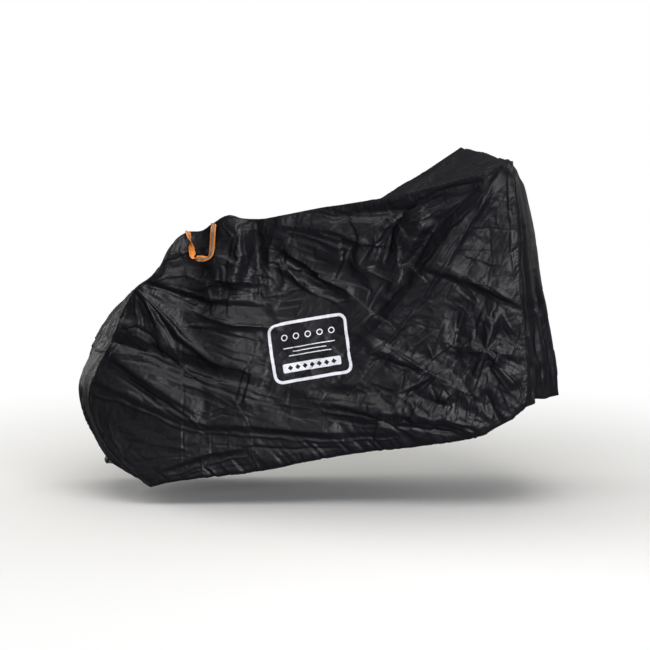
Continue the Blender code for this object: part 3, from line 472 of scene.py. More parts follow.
def side_panel(top, hem, rear, front, bellies, folds, outward, columns, rows):
    """Smooth points of a side panel, a row for each step up from the hem, on the part's own form."""
    long_shares = np.linspace(0.0, 1.0, columns + 1)
    seam = run_lengths(rear)[-1]
    tall_shares = np.concatenate([
        np.linspace(0.0, HEM_TALL / seam, HEM_ROWS + 1)[:-1],
        np.linspace(HEM_TALL / seam, 1.0, rows + 1 - HEM_ROWS),
    ])
    top_edge, hem_edge = edge_points(top, long_shares), edge_points(hem, long_shares)
    rear_edge, front_edge = edge_points(rear, tall_shares), edge_points(front, tall_shares)
    v, u = tall_shares[:, None, None], long_shares[None, :, None]
    between = (1 - v) * hem_edge[None] + v * top_edge[None]
    rear_bend = (rear_edge - between[:, 0])[:, None]
    front_bend = (front_edge - between[:, -1])[:, None]
    grid = between + (1 - u) ** 3.0 * rear_bend + u ** 2.0 * front_bend
    inside = (np.clip(4 * v * (1 - v), 0, 1) * np.clip(6 * u * (1 - u), 0, 1))[..., 0]
    x, z = grid[..., 0], grid[..., 2]
    for belly in bellies:
        away = ((x - belly.x) / belly.reach_x) ** 2 + ((z - belly.height) / belly.reach_up) ** 2
        grid[..., 1] += outward * belly.out * np.exp(-away) * inside
    normals = surface_normals(grid) * -outward
    raised = fold_height(grid[..., 0], grid[..., 2], folds)
    grid = grid + normals * raised[..., None]
    from_hem = tall_shares[:, None] * seam
    grid[..., 1] -= outward * HEM_CURL * np.clip(1.0 - from_hem / HEM_TALL, 0.0, 1.0) ** 2
    return grid


def run_grid(grid, axis):
    """Length along the cloth at each point, from the first row (axis 0) or column (axis 1)."""
    steps = np.linalg.norm(np.diff(grid, axis=axis), axis=2)
    return np.pad(np.cumsum(steps, axis=axis), ((1, 0), (0, 0)) if axis == 0 else ((0, 0), (1, 0)))


def flat_places(grid, row, column):
    """Each point's place on the flat cloth: metres along and up it from the point at row, column."""
    along, up = run_grid(grid, 1), run_grid(grid, 0)
    return np.stack([along - along[:, column:column + 1], up - up[row:row + 1]], axis=-1)


def from_sewn_edge(grid):
    """Each point's distance along the cloth from the nearest of a panel's three sewn edges."""
    along, up = run_grid(grid, 1), run_grid(grid, 0)
    return np.minimum(np.minimum(along, along[:, -1:] - along), up[-1:] - up)


def drift(moved, reach):
    """The slow part of a movement over a grid, which would swell the cover, and 0 at its border."""
    rows, columns = moved.shape[:2]
    weights = np.hanning(2 * reach + 3)[1:-1]
    weights /= weights.sum()
    for turn in (0, 1):
        padded = np.pad(moved, ((reach, reach), (0, 0), (0, 0)), mode="edge")
        moved = sum(weight * padded[step:step + moved.shape[0]] for step, weight in enumerate(weights))
        moved = moved.transpose(1, 0, 2)
    row, column = np.arange(rows)[:, None], np.arange(columns)[None]
    border = np.minimum(np.minimum(row, rows - 1 - row), np.minimum(column, columns - 1 - column))
    return moved * np.clip(border / reach, 0.0, 1.0)[..., None]


SETTLE_FRAMES = 10
HELD_SOFTLY = 0.06        # how firmly the cloth between its sewn edges is kept in place
SLOW_REACH = 16           # steps of the grid each way over which a movement's slow part is averaged
SLOW_SHARE = 0.7          # how much of the slow part is taken out again
ON_EDGE = 1e-6            # nearer than this to a sewn edge, a point is sewn


def settle(shape, held, growth, most):
    """The cloth after it has settled: it is `growth` too large, and wrinkles between what is held."""
    rows, columns = shape.shape[:2]
    index = np.arange(rows * columns).reshape(rows, columns)
    faces = np.stack([index[:-1, :-1], index[:-1, 1:], index[1:, 1:], index[1:, :-1]], axis=-1)
    mesh = bpy.data.meshes.new("settling")
    mesh.from_pydata(shape.reshape(-1, 3).tolist(), [], faces.reshape(-1, 4).tolist())
    cloth = bpy.data.objects.new("settling", mesh)
    bpy.context.scene.collection.objects.link(cloth)
    pins = cloth.vertex_groups.new(name="pins")
    pins.add(index[held].tolist(), 1.0, "REPLACE")
    pins.add(index[~held].tolist(), HELD_SOFTLY, "REPLACE")
    modifier = cloth.modifiers.new("cloth", "CLOTH")
    setting = modifier.settings
    setting.quality, setting.mass, setting.air_damping = 5, 0.15, 1.0
    setting.tension_stiffness = setting.compression_stiffness = 15.0
    setting.shear_stiffness, setting.bending_stiffness = 5.0, 0.05
    setting.tension_damping = setting.compression_damping = setting.shear_damping = 5.0
    setting.bending_damping = 0.5
    setting.shrink_min = -growth
    setting.vertex_group_mass, setting.pin_stiffness = "pins", 1.0
    setting.effector_weights.gravity = 0.0
    modifier.collision_settings.use_collision = False
    modifier.point_cache.frame_start, modifier.point_cache.frame_end = 1, SETTLE_FRAMES
    for step in range(1, SETTLE_FRAMES + 1):
        bpy.context.scene.frame_set(step)
    settled = cloth.evaluated_get(bpy.context.evaluated_depsgraph_get()).data
    points = np.empty(rows * columns * 3, np.float32)
    settled.vertices.foreach_get("co", points)
    moved = points.reshape(shape.shape).astype(float) - shape
    moved -= SLOW_SHARE * drift(moved, SLOW_REACH)
    far = np.linalg.norm(moved, axis=2, keepdims=True)
    bpy.data.objects.remove(cloth)
    bpy.data.meshes.remove(mesh)
    bpy.context.scene.frame_set(1)
    return shape + moved * np.minimum(1.0, most / np.maximum(far, 1e-9))


def closed_sheet(name, outer, thick, flat):
    """A thin closed sheet: a fine outer skin on the points, and a coarser one just inside it."""
    rows, columns = outer.shape[:2]
    normals = surface_normals(outer)
    behind = normals[::2, ::2]
    padded = np.pad(outer, ((2, 2), (2, 2), (0, 0)), mode="edge")
    lowest = np.zeros(behind.shape[:2])
    for down in range(5):
        for right in range(5):
            near = padded[down:down + rows:2, right:right + columns:2]
            lowest = np.minimum(lowest, np.sum((near - outer[::2, ::2]) * behind, axis=2))
    inner = outer[::2, ::2] + behind * (lowest - thick)[..., None]
    faces = []
    index = np.arange(rows * columns).reshape(rows, columns)
    within = rows * columns + np.arange(inner.shape[0] * inner.shape[1]).reshape(inner.shape[:2])
    for grid, turn in ((index, 1), (within, -1)):
        quads = np.stack([grid[:-1, :-1], grid[:-1, 1:], grid[1:, 1:], grid[1:, :-1]], axis=-1)
        faces += quads.reshape(-1, 4)[:, ::turn].tolist()
    rim = np.concatenate([index[0], index[1:, -1], index[-1, -2::-1], index[-2:0:-1, 0]])
    back = np.concatenate([within[0], within[1:, -1], within[-1, -2::-1], within[-2:0:-1, 0]])
    for step in range(len(back)):
        one, two = back[step], back[(step + 1) % len(back)]
        start, middle, end = (rim[(2 * step + k) % len(rim)] for k in range(3))
        faces += [[middle, start, one], [middle, one, two], [end, middle, two]]
    points = np.concatenate([outer.reshape(-1, 3), inner.reshape(-1, 3)])
    mesh = bpy.data.meshes.new(name)
    mesh.from_pydata(points.tolist(), [], faces)
    corners = np.empty(len(mesh.loops), np.int32)
    mesh.loops.foreach_get("vertex_index", corners)
    places = np.concatenate([flat.reshape(-1, 2), flat[::2, ::2].reshape(-1, 2)])
    layer = mesh.uv_layers.new(name="flat")
    layer.data.foreach_set("uv", places[corners].astype(np.float32).ravel())
    crest = crest_height(outer)
    crests = np.concatenate([crest.ravel(), crest[::2, ::2].ravel()]).astype(np.float32)
    mesh.attributes.new("crest", "FLOAT", "POINT").data.foreach_set("value", crests)
    mesh.shade_smooth()
    piece = bpy.data.objects.new(name, mesh)
    bpy.context.scene.collection.objects.link(piece)
    return piece


def crest_height(grid):
    """How far each point stands above those two steps of the grid away, in mm: crests get a painted
    highlight.
    """
    around = np.pad(grid, ((2, 2), (2, 2), (0, 0)), mode="edge")
    mean = (around[4:, 2:-2] + around[:-4, 2:-2] + around[2:-2, 4:] + around[2:-2, :-4]) / 4
    return MM * np.sum((grid - mean) * surface_normals(grid), axis=2)


GATHER_TALL = 0.0022
PUCKER_TALL = 0.0010
CHANNEL_DEEP = 0.0012     # the line that the hem's stitches pull in


def hem_and_seam_gathers(grid, edge_far, seed):
    """How far the elastic gathers the cloth over the hem, and the stitches pucker it at the seams."""
    up, along = run_grid(grid, 0), run_grid(grid, 1)
    ripple = soft_noise(along, 0 * along + 0.2, 0.013, seed)
    ripple = ripple + 0.6 * soft_noise(along, up, 0.027, seed + 1)
    fades = np.exp(-np.clip(up - HEM_TALL, 0.0, 1.0) / 0.045)
    gathers = GATHER_TALL * ripple * fades * np.clip(up / 0.01, 0.3, 1.0)
    pucker = soft_noise(along + up, along - up, 0.011, seed + 2)
    beside = np.exp(-edge_far / 0.016) * np.clip(edge_far / 0.004, 0.0, 1.0)
    channel = -CHANNEL_DEEP * np.exp(-((up - HEM_TALL) / 0.004) ** 2)
    return gathers + PUCKER_TALL * pucker * beside + channel


FLAT_BY_SEAM = 0.020      # creases and crumpling die out this near to a sewn edge
CREASE_DRAWS = 60         # how far on from the crumpling's the draws for creases and gathers start
GATHER_DRAWS = 20


def wrinkled(base, edge_far, crumples, share, creases, seed, outward):
    """A panel with its crumpling, creases, hem gathers and seam puckers, measured from the origin."""
    raised = crumple_height(base[..., 0], base[..., 2], crumples, seed) * share
    raised += crease_height(base[..., 0], base[..., 2], creases, seed + CREASE_DRAWS)
    raised *= np.clip(edge_far / FLAT_BY_SEAM, 0.0, 1.0)
    raised += hem_and_seam_gathers(base, edge_far, seed + GATHER_DRAWS)
    shape = base - outward * surface_normals(base) * raised[..., None]
    shape[..., 2] -= MOUNT_HEIGHT
    return shape


PANEL_GROWTH = 0.030      # how much too large a panel is when it settles
PANEL_MOST = 0.015        # and the farthest that a point of it moves
NEAR_SETTLED = 0.65       # the share of that movement which the near panel takes

near_base = side_panel(NEAR_TOP, NEAR_HEM, NEAR_REAR, NEAR_FRONT, NEAR_BELLIES, NEAR_FOLDS,
                       outward=-1, columns=NEAR_LONG, rows=NEAR_TALL)
near_flat = flat_places(near_base, *PRINT_MIDDLE)
edge_far = from_sewn_edge(near_base)
near_shape = wrinkled(near_base, edge_far, NEAR_CRUMPLES, NEAR_CRUMPLED, NEAR_CREASES, NEAR_SEED,
                      outward=-1)
settled = settle(near_shape, edge_far < ON_EDGE, PANEL_GROWTH, PANEL_MOST)
near_shape += NEAR_SETTLED * (settled - near_shape)
near_panel = closed_sheet("near_panel_cloth", near_shape, CLOTH_THICK, near_flat)


def linear(code):
    """An sRGB hex colour as linear red, green, blue and alpha."""
    parts = [int(code[i:i + 2], 16) / 255.0 for i in (1, 3, 5)]
    return (*(p / 12.92 if p <= 0.04045 else ((p + 0.055) / 1.055) ** 2.4 for p in parts), 1.0)


def add(tree, kind, links=(), **values):
    """Adds a shader node: each of `values` is set on it, or on its input of that name.

    Each of `links` is an input's name or number, with the socket that feeds it or else its value.
    """
    node = tree.nodes.new("ShaderNode" + kind)
    for name, value in values.items():
        if hasattr(node, name):
            setattr(node, name, value)
        else:
            node.inputs[name.replace("_", " ")].default_value = value
    for name, source in links:
        if isinstance(source, bpy.types.NodeSocket):
            tree.links.new(source, node.inputs[name])
        else:
            node.inputs[name].default_value = source
    return node


def new_material(name):
    """An empty material, its tree and its shader."""
    material = bpy.data.materials.new(name)
    material.use_nodes = True
    return material, material.node_tree, material.node_tree.nodes["Principled BSDF"]


def taffeta(name, ink=None):
    """Black coated taffeta: a plain weave of fine bright filaments, calendered and coated inside.

    To the eye it is near black and a little blue, with a soft sheen that crinkles break into
    facets, and its colour is painted lighter on the crests, a painted highlight. The weave's ribs,
    0.3 mm apart, are drawn 3.2 mm apart, because they would not show. `ink` builds the mask of a print on
    it.
    """
    material, tree, shader = new_material(name)
    place = add(tree, "UVMap", uv_map="flat").outputs["UV"]
    # The colour is painted lighter where the cloth stands up in crests, broken up by patchy noise: a painted
    # highlight.
    crest = add(tree, "Attribute", attribute_name="crest")
    crest_highlight = add(tree, "MapRange", [("Value", crest.outputs["Fac"])], From_Min=0.4, From_Max=3.0)
    patchy = add(tree, "TexNoise", [("Vector", place)], Scale=9.0, Detail=4.0)
    painted_crest_highlight = add(tree, "Math", [(0, crest_highlight.outputs["Result"]), (1, patchy.outputs["Fac"])],
                 operation="MULTIPLY")
    colour = add(tree, "Mix", [("Factor", painted_crest_highlight.outputs[0]), ("A", linear("#0f0f14")),
                               ("B", linear("#1a1a1f"))], data_type="RGBA").outputs["Result"]
    gloss = add(tree, "MapRange", [("Value", patchy.outputs["Fac"])], From_Min=0.3, From_Max=0.7,
                To_Min=0.38, To_Max=0.50).outputs["Result"]
    if ink:
        mask = ink(tree)
        colour = add(tree, "Mix", [("Factor", mask), ("A", colour), ("B", linear("#e6e6ec"))],
                     data_type="RGBA").outputs["Result"]
        gloss = add(tree, "Mix", [("Factor", mask), ("A", gloss), ("B", 0.6)],
                    data_type="FLOAT").outputs["Result"]
    tree.links.new(colour, shader.inputs["Base Color"])
    tree.links.new(gloss, shader.inputs["Roughness"])
    shader.inputs["IOR"].default_value = 1.45
    shader.inputs["Specular IOR Level"].default_value = 0.40
    crinkle = add(tree, "TexNoise", [("Vector", place)], noise_type="RIDGED_MULTIFRACTAL",
                  Scale=34.0, Detail=4.0, Roughness=0.6, Distortion=0.4)
    soft = add(tree, "Bump", [("Height", crinkle.outputs["Fac"])], Strength=0.45, Distance=0.003)
    ribs = add(tree, "TexWave", [("Vector", place)], bands_direction="Y", Scale=98.0, Distortion=0.6)
    fine = add(tree, "Bump", [("Height", ribs.outputs["Fac"]), ("Normal", soft.outputs["Normal"])],
               Strength=0.08, Distance=0.0004)
    tree.links.new(fine.outputs["Normal"], shader.inputs["Normal"])
    return material


PRINT_HALF = (0.136, 0.102)       # to the middle of its line
PRINT_ROUND = 0.026
PRINT_LINE = 0.0108
RINGS = [(0.042 * step, 0.052) for step in range(-2, 3)]
RING_RADIUS, RING_LINE = 0.0095, 0.0036
RULES = ((0.014, 0.092), (0.000, 0.060), (-0.014, 0.076))      # height and half length
RULE_HALF = 0.0017
BAR_PLACE, BAR_HALF, BAR_ROUND = (0.0, -0.056), (0.104, 0.016), 0.006
DIAMONDS = [(0.026 * step, BAR_PLACE[1]) for step in range(-3, 4)]
DIAMOND_HALF = 0.0095


def printed_frame(tree):
    """Screen-printed white ink: a line with round corners, and in it plain rings, rules and a bar.

    The ink is matt, lies in the weave and follows each fold. It has worn off in specks.
    """
    place = add(tree, "UVMap", uv_map="flat").outputs["UV"]

    def past_core(middle, half, corner):
        """How far each place is from the core of a box: the box without its round corners' width."""
        way = add(tree, "VectorMath", [(0, place), (1, (*middle, 0.0))], operation="SUBTRACT")
        way = add(tree, "VectorMath", [(0, way.outputs[0])], operation="ABSOLUTE")
        core = (half[0] - corner, half[1] - corner, 0.0)
        way = add(tree, "VectorMath", [(0, way.outputs[0]), (1, core)], operation="SUBTRACT")
        way = add(tree, "VectorMath", [(0, way.outputs[0]), (1, (0.0, 0.0, 0.0))], operation="MAXIMUM")
        return add(tree, "VectorMath", [(0, way.outputs[0])], operation="LENGTH").outputs["Value"]

    ink = add(tree, "Math", [(0, past_core((0.0, 0.0), PRINT_HALF, PRINT_ROUND)), (1, PRINT_ROUND),
                             (2, PRINT_LINE / 2)], operation="COMPARE").outputs[0]
    bars = [(BAR_PLACE, BAR_HALF, BAR_ROUND)]
    bars += [((0.0, height), (half, RULE_HALF), RULE_HALF / 3) for height, half in RULES]
    for middle, half, corner in bars:
        bar = add(tree, "Math", [(0, past_core(middle, half, corner)), (1, corner)],
                  operation="LESS_THAN")
        ink = add(tree, "Math", [(0, ink), (1, bar.outputs[0])], operation="ADD").outputs[0]
    for middle in RINGS:
        away = add(tree, "VectorMath", [(0, place), (1, (*middle, 0.0))], operation="DISTANCE")
        ring = add(tree, "Math", [(0, away.outputs["Value"]), (1, RING_RADIUS), (2, RING_LINE / 2)],
                   operation="COMPARE")
        ink = add(tree, "Math", [(0, ink), (1, ring.outputs[0])], operation="ADD").outputs[0]
    for middle in DIAMONDS:
        way = add(tree, "VectorMath", [(0, place), (1, (*middle, 0.0))], operation="SUBTRACT")
        way = add(tree, "VectorMath", [(0, way.outputs[0])], operation="ABSOLUTE")
        away = add(tree, "VectorMath", [(0, way.outputs[0]), (1, (1.0, 1.0, 0.0))],
                   operation="DOT_PRODUCT")
        left_bare = add(tree, "Math", [(0, away.outputs["Value"]), (1, DIAMOND_HALF)],
                        operation="LESS_THAN")
        ink = add(tree, "Math", [(0, ink), (1, left_bare.outputs[0])], operation="SUBTRACT").outputs[0]
    specks = add(tree, "TexNoise", [("Vector", place)], Scale=260.0, Detail=3.0).outputs["Fac"]
    worn = add(tree, "MapRange", [("Value", specks)], From_Min=0.30, From_Max=0.40, To_Min=0.55)
    return add(tree, "Math", [(0, ink), (1, worn.outputs["Result"])], operation="MULTIPLY").outputs[0]


def dress_panel(piece, material, node):
    """Gives a piece of cloth its material and its place on the cover, and hides the model's part that it
    stands for.
    """
    piece.data.materials.append(material)
    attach(piece, "root")
    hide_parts(node)


printed_taffeta = taffeta("black_coated_taffeta_with_white_print", printed_frame)
dress_panel(near_panel, printed_taffeta, "near_side_panel")


# ---- Far side panel ----------------------------------------------------------------------------
# The near panel's partner, of the same black taffeta, without a print. It hangs slacker, because
# what holds it up is lower there, so its top edge dips and its folds fall steeply.

FAR_LONG = 190
FAR_TALL = 132
FAR_SEED = 911
FAR_CRUMPLED = 0.6
FAR_TOP = np.array((
    (-700, 270, 690), (-640, 275, 745), (-580, 280, 820), (-530, 275, 875), (-470, 270, 893),
    (-400, 290, 915), (-330, 300, 930), (-260, 300, 920), (-140, 310, 935), (0, 330, 955),
    (110, 360, 980), (206, 390, 1018), (282, 430, 1062), (358, 460, 1103), (438, 490, 1153),
    (515, 520, 1202),
)) / MM
FAR_HEM = np.array((
    (-620, 285, 60), (-440, 295, 90), (-260, 300, 112), (-90, 310, 140), (90, 320, 172),
    (260, 335, 200), (440, 355, 232), (560, 375, 262), (640, 385, 308), (700, 385, 358),
)) / MM
FAR_REAR = np.array((
    (-620, 285, 60), (-760, 260, 160), (-830, 245, 270), (-860, 235, 380), (-845, 240, 460),
    (-800, 250, 550), (-750, 260, 630), (-700, 270, 690),
)) / MM
FAR_FRONT = np.array((
    (700, 385, 358), (695, 410, 600), (665, 450, 850), (590, 495, 1070), (515, 520, 1202),
)) / MM
FAR_BELLIES = [Belly(*(size / MM for size in row)) for row in (
    (200, 330, 330, 140, 55), (-430, 400, 300, 200, 20), (-50, 800, 280, 140, -45),
)]
FAR_FOLDS = in_metres((
    (0.4, (
        (495, 1170, 34, 8), (420, 1040, 60, 34), (340, 860, 80, 44), (200, 690, 86, 34),
        (20, 520, 80, 10))),
    (0.0, ((500, 1040, 40, -12), (530, 820, 60, -26), (540, 600, 60, -18))),
    (0.0, ((200, 970, 40, -22), (40, 900, 50, -28), (-120, 860, 40, -10))),
    (0.3, ((-260, 860, 40, 10), (-40, 790, 50, 30), (140, 800, 45, 10))),
    (0.0, ((-330, 880, 40, 10), (-350, 740, 50, 26), (-420, 600, 45, 10))),
    (0.3, ((-670, 660, 30, 10), (-560, 540, 40, 26), (-380, 440, 45, 10))),
    (0.3, ((-760, 500, 34, -12), (-500, 420, 45, -26), (-240, 370, 40, -10))),
    (0.3, ((-760, 390, 34, 10), (-560, 290, 45, 24), (-300, 240, 45, 18), (0, 250, 40, 6))),
    (0.4, ((20, 350, 40, 8), (240, 320, 50, 26), (480, 300, 40, 10))),
    (0.0, star(
        (500, 560, 40, 30), ((630, 480, 34, 10),), ((400, 640, 36, 8),), ((440, 420, 36, 10),))),
    (0.0, ((120, 560, 45, -22), (260, 450, 40, -20))),
))
FAR_CRUMPLES = [Patch(*row) for row in (
    (0.38, 0.86, 0.2, 0.24, 58, 3.0, 0.052, 0.17), (0.1, 0.86, 0.24, 0.13, -6, 2.2, 0.046, 0.2),
    (-0.3, 0.76, 0.22, 0.16, 70, 1.8, 0.042, 0.22), (-0.56, 0.52, 0.22, 0.16, -35, 3.0, 0.046, 0.2),
    (-0.3, 0.33, 0.32, 0.15, -14, 3.0, 0.05, 0.17), (0.1, 0.56, 0.24, 0.16, 40, 1.9, 0.054, 0.16),
    (0.52, 0.52, 0.18, 0.17, 65, 1.4, 0.034, 0.32), (0.3, 0.33, 0.3, 0.1, -16, 1.7, 0.036, 0.28),
)]

# Sharp creases, given as the near panel's are.
FAR_CREASES = (
    (0.3, 14, 6, ((470, 1130), (390, 990), (320, 850), (210, 700), (60, 560))),
    (0.0, 15, -6, ((420, 1090), (330, 950), (250, 830), (130, 690))),
    (0.0, 6, 4, ((260, 980), (130, 930), (-20, 880))),
    (0.0, 7, -4, ((240, 950), (100, 880), (-60, 850))),
    (0.0, 8, -6, ((240, 960), (230, 850), (200, 760))),
    (0.2, 9, 6, ((-220, 840), (-100, 770), (60, 740), (150, 770))),
    (0.0, 10, -6, ((-200, 870), (-60, 820), (80, 800))),
    (0.2, 7, 5, ((-690, 640), (-600, 540), (-480, 450), (-360, 390))),
    (0.2, 7, 5, ((-680, 650), (-560, 580), (-420, 530))),
    (0.0, 7, -5, ((-680, 620), (-560, 520), (-420, 440))),
    (0.3, 9, 5, ((-780, 430), (-600, 350), (-440, 290), (-260, 270))),
    (0.0, 8, -5, ((-760, 400), (-600, 320), (-440, 250))),
    (0.0, 7, 4, ((-440, 740), (-330, 700), (-240, 720))),
    (0.0, 7, -4, ((-420, 700), (-320, 660), (-220, 690))),
    (0.0, 6, 5, ((500, 560), (580, 540), (650, 480))),
    (0.0, 7, -6, ((510, 540), (560, 460), (620, 400))),
    (0.0, 6, 5, ((490, 560), (440, 640), (400, 680))),
    (0.0, 6, -5, ((490, 540), (440, 470), (430, 400))),
    (0.0, 6, 4, ((510, 580), (530, 680), (560, 760))),
    (-0.4, 10, 7, ((40, 360), (200, 340), (360, 320), (520, 290))),
    (0.0, 10, -6, ((60, 320), (240, 290), (440, 270))),
    (0.0, 6, 5, ((300, 480), (270, 420), (230, 360))),
    (0.0, 6, -5, ((320, 480), (330, 410), (300, 350))),
    (0.0, 6, 5, ((400, 450), (390, 390), (360, 340))),
    (0.0, 4, -2, ((-400, 860), (-400, 600), (-400, 360), (-400, 140))),
    (0.0, 4, -2, ((20, 900), (20, 600), (20, 300))),
    (0.0, 4, -2, ((-700, 560), (-300, 560), (100, 560), (560, 560))),
)

far_base = side_panel(FAR_TOP, FAR_HEM, FAR_REAR, FAR_FRONT, FAR_BELLIES, FAR_FOLDS,
                      outward=1, columns=FAR_LONG, rows=FAR_TALL)
edge_far = from_sewn_edge(far_base)
far_shape = wrinkled(far_base, edge_far, FAR_CRUMPLES, FAR_CRUMPLED, FAR_CREASES, FAR_SEED,
                     outward=1)
# Its columns are turned round, so that its outer skin faces away from the near panel.
far_shape = settle(far_shape[:, ::-1], edge_far[:, ::-1] < ON_EDGE, PANEL_GROWTH, PANEL_MOST)
far_panel = closed_sheet("far_panel_cloth", far_shape, CLOTH_THICK,
                         flat_places(far_shape, FAR_TALL // 2, FAR_LONG // 2))
black_taffeta = taffeta("black_coated_taffeta")
dress_panel(far_panel, black_taffeta, "far_side_panel")


# ---- Centre strip ------------------------------------------------------------------------------
# One long piece of the same taffeta between the two panels: up the front in pleats, over the front
# ridge, along the top and down the rear. It is widest at the front corners, and slack between them.

STRIP_LONG = 500
STRIP_WIDE = 120
CAD_ROWS = 26             # rows up a panel in the solid, by which the strip's places are counted
STRIP_SEED = 1911
STRIP_CRUMPLED = 0.5
STRIP_GROWTH = 0.022
STRIP_MOST = 0.010
FLAT_BY_HEM = 0.050       # its creases and crumpling die out this near to its hems

# How the strip leaves the straight line between its seams: the place along it (0 front hem, 1 front
# ridge, 2 rear corner of the top, 3 rear hem), then millimetres forward and up, three times: near,
# in the middle and far.
STRIP_CROWN = np.array((
    (0.00, 108, 14, 122, 16, 80, 8), (0.30, 86, 0, 90, 0, 50, 0), (0.50, 74, 0, 70, 0, 36, 0),
    (0.80, 67, -6, 60, -6, 28, -4), (0.93, 58, -10, 48, -12, 20, -6), (0.97, 44, -8, 34, -10, 14, -4),
    (1.00, 10, 0, 4, 0, 2, 0), (1.10, 0, -12, 0, -18, 0, -8), (1.22, 0, -30, 0, -38, 0, -18),
    (1.40, 0, -52, 0, -66, 0, -40), (1.60, 0, -60, 0, -80, 0, -44), (1.72, 0, -30, 0, -64, 0, -20),
    (1.86, -6, -30, -10, -56, -6, -20), (2.00, -10, -12, -20, -20, -12, -6),
    (2.25, -22, 0, -34, 0, -26, 0), (2.50, -22, 0, -34, 0, -28, 0), (2.75, -40, 0, -62, 0, -46, 0),
    (2.90, -70, 14, -124, 24, -80, 16), (3.00, -100, 34, -180, 55, -110, 36),
))

# Folds, given as the near panel's are, in lengths along the strip from its front hem and across it
# from the near seam.
STRIP_FOLDS = in_metres((
    (0.0, ((0, 85, 38, -34), (500, 90, 38, -34), (800, 100, 34, -14))),
    (0.0, ((0, 190, 45, 26), (400, 200, 48, 22), (760, 240, 40, 8))),
    (0.0, ((0, 320, 42, -24), (350, 350, 48, -26), (700, 420, 40, -10))),
    (0.0, ((0, 480, 45, 24), (400, 530, 50, 24), (780, 640, 45, 10))),
    (0.0, ((0, 640, 42, -20), (450, 720, 48, -20))),
    (0.3, ((960, 900, 40, 8), (1120, 560, 58, 24), (1240, 200, 45, 10))),
    (-0.3, ((1060, 820, 40, -8), (1230, 500, 56, -24), (1320, 180, 45, -10))),
    (0.0, ((1420, 150, 45, 12), (1480, 420, 60, 28), (1440, 560, 45, 10))),
    (0.0, ((1640, 120, 45, -12), (1660, 350, 60, -24), (1700, 520, 45, -10))),
    (0.0, ((1960, 120, 45, 10), (2000, 300, 55, 24), (1980, 450, 45, 12))),
    (0.0, ((2180, 110, 40, -12), (2200, 280, 50, -24), (2240, 430, 40, -12))),
    (0.0, ((2420, 100, 36, 8), (2640, 130, 42, 18), (2960, 120, 36, 12))),
    (0.0, ((2460, 230, 42, -10), (2700, 260, 45, -24), (3060, 240, 40, -20))),
    (0.0, ((2480, 370, 42, 10), (2760, 390, 45, 24), (3060, 360, 40, 14))),
))

# Sharp creases, given in the same lengths.
STRIP_CREASES = (
    (0.0, 40, -34, ((0, 50), (150, 52), (300, 48), (450, 46), (600, 42), (750, 38), (860, 30))),
    (0.0, 16, 9, ((0, 78), (150, 82), (340, 78), (560, 74), (760, 66))),
    (0.0, 13, -12, ((0, 112), (100, 114), (210, 108), (300, 118))),
    (0.0, 12, 9, ((0, 138), (120, 142), (240, 136), (360, 150))),
    (0.0, 12, -10, ((0, 164), (130, 168), (280, 160), (460, 172))),
    (0.0, 10, 6, ((0, 230), (200, 236), (420, 250), (640, 290))),
    (0.0, 10, -7, ((0, 270), (220, 284), (460, 310), (700, 360))),
    (0.0, 10, 6, ((0, 400), (220, 420), (460, 450), (720, 520))),
    (0.0, 10, -7, ((0, 560), (240, 590), (500, 640), (740, 720))),
    (0.2, 10, 7, ((920, 960), (980, 780), (1060, 560), (1140, 380), (1200, 230))),
    (0.0, 11, -7, ((950, 920), (1030, 740), (1110, 540), (1190, 330))),
    (0.0, 8, 5, ((940, 100), (1010, 240), (1090, 360), (1190, 430))),
    (0.0, 8, -5, ((930, 160), (1000, 320), (1060, 440))),
    (0.0, 8, 5, ((1260, 100), (1340, 240), (1460, 330), (1560, 460))),
    (0.0, 9, -6, ((1300, 520), (1400, 380), (1540, 280), (1640, 140))),
    (0.0, 8, 5, ((1580, 100), (1700, 200), (1820, 330), (1900, 470))),
    (0.0, 9, -6, ((1760, 90), (1840, 200), (1880, 360))),
    (0.0, 8, 5, ((2020, 80), (2080, 220), (2060, 400))),
    (0.0, 9, 6, ((2300, 60), (2460, 140), (2660, 180), (2860, 200))),
    (0.0, 9, -6, ((2320, 120), (2520, 200), (2740, 240))),
    (0.0, 4, -2, ((1300, 300), (1900, 270), (2500, 260), (3000, 250))),
    (0.0, 4, -2, ((1620, 40), (1620, 300), (1620, 560))),
)
STRIP_CRUMPLES = [Patch(*row) for row in (
    (0.18, 0.1, 0.22, 0.14, 8, 4.0, 0.036, 0.1), (0.48, 0.14, 0.24, 0.18, 4, 4.0, 0.04, 0.08),
    (0.2, 0.42, 0.28, 0.24, 6, 3.4, 0.046, 0.14), (0.6, 0.56, 0.3, 0.3, 10, 3.0, 0.05, 0.14),
    (1.05, 0.45, 0.16, 0.42, 70, 2.4, 0.044, 0.2), (1.35, 0.32, 0.22, 0.3, 60, 2.0, 0.048, 0.2),
    (1.7, 0.28, 0.22, 0.26, 30, 1.8, 0.046, 0.2), (2.05, 0.25, 0.24, 0.24, 20, 2.2, 0.044, 0.22),
    (2.45, 0.23, 0.26, 0.22, 5, 2.6, 0.044, 0.2), (2.9, 0.22, 0.28, 0.22, -5, 2.4, 0.046, 0.22),
)]


def strip_places(grid):
    """A panel's sewn edge, from its front hem round to its rear hem, and each point's place on it."""
    rows, columns = grid.shape[:2]
    seam = run_lengths(grid[:, 0])[-1]
    solid_shares = np.concatenate([[0.0], np.linspace(HEM_TALL / seam, 1.0, CAD_ROWS)])
    front = run_lengths(grid[:, -1])
    rear = run_lengths(grid[:, 0])
    counted = np.linspace(0.0, 1.0, CAD_ROWS + 1)
    places = np.concatenate([
        np.interp(front / front[-1], solid_shares, counted),
        2.0 - np.linspace(0.0, 1.0, columns)[-2::-1],
        3.0 - np.interp(rear / rear[-1], solid_shares, counted)[-2::-1],
    ])
    edge = np.concatenate([grid[:, -1], grid[-1, -2::-1], grid[-2::-1, 0]])
    return places, edge


def on_edge(at, places, edge):
    """Points of a sewn edge at places along it."""
    return np.stack([np.interp(at, places, edge[:, axis]) for axis in range(3)], axis=1)


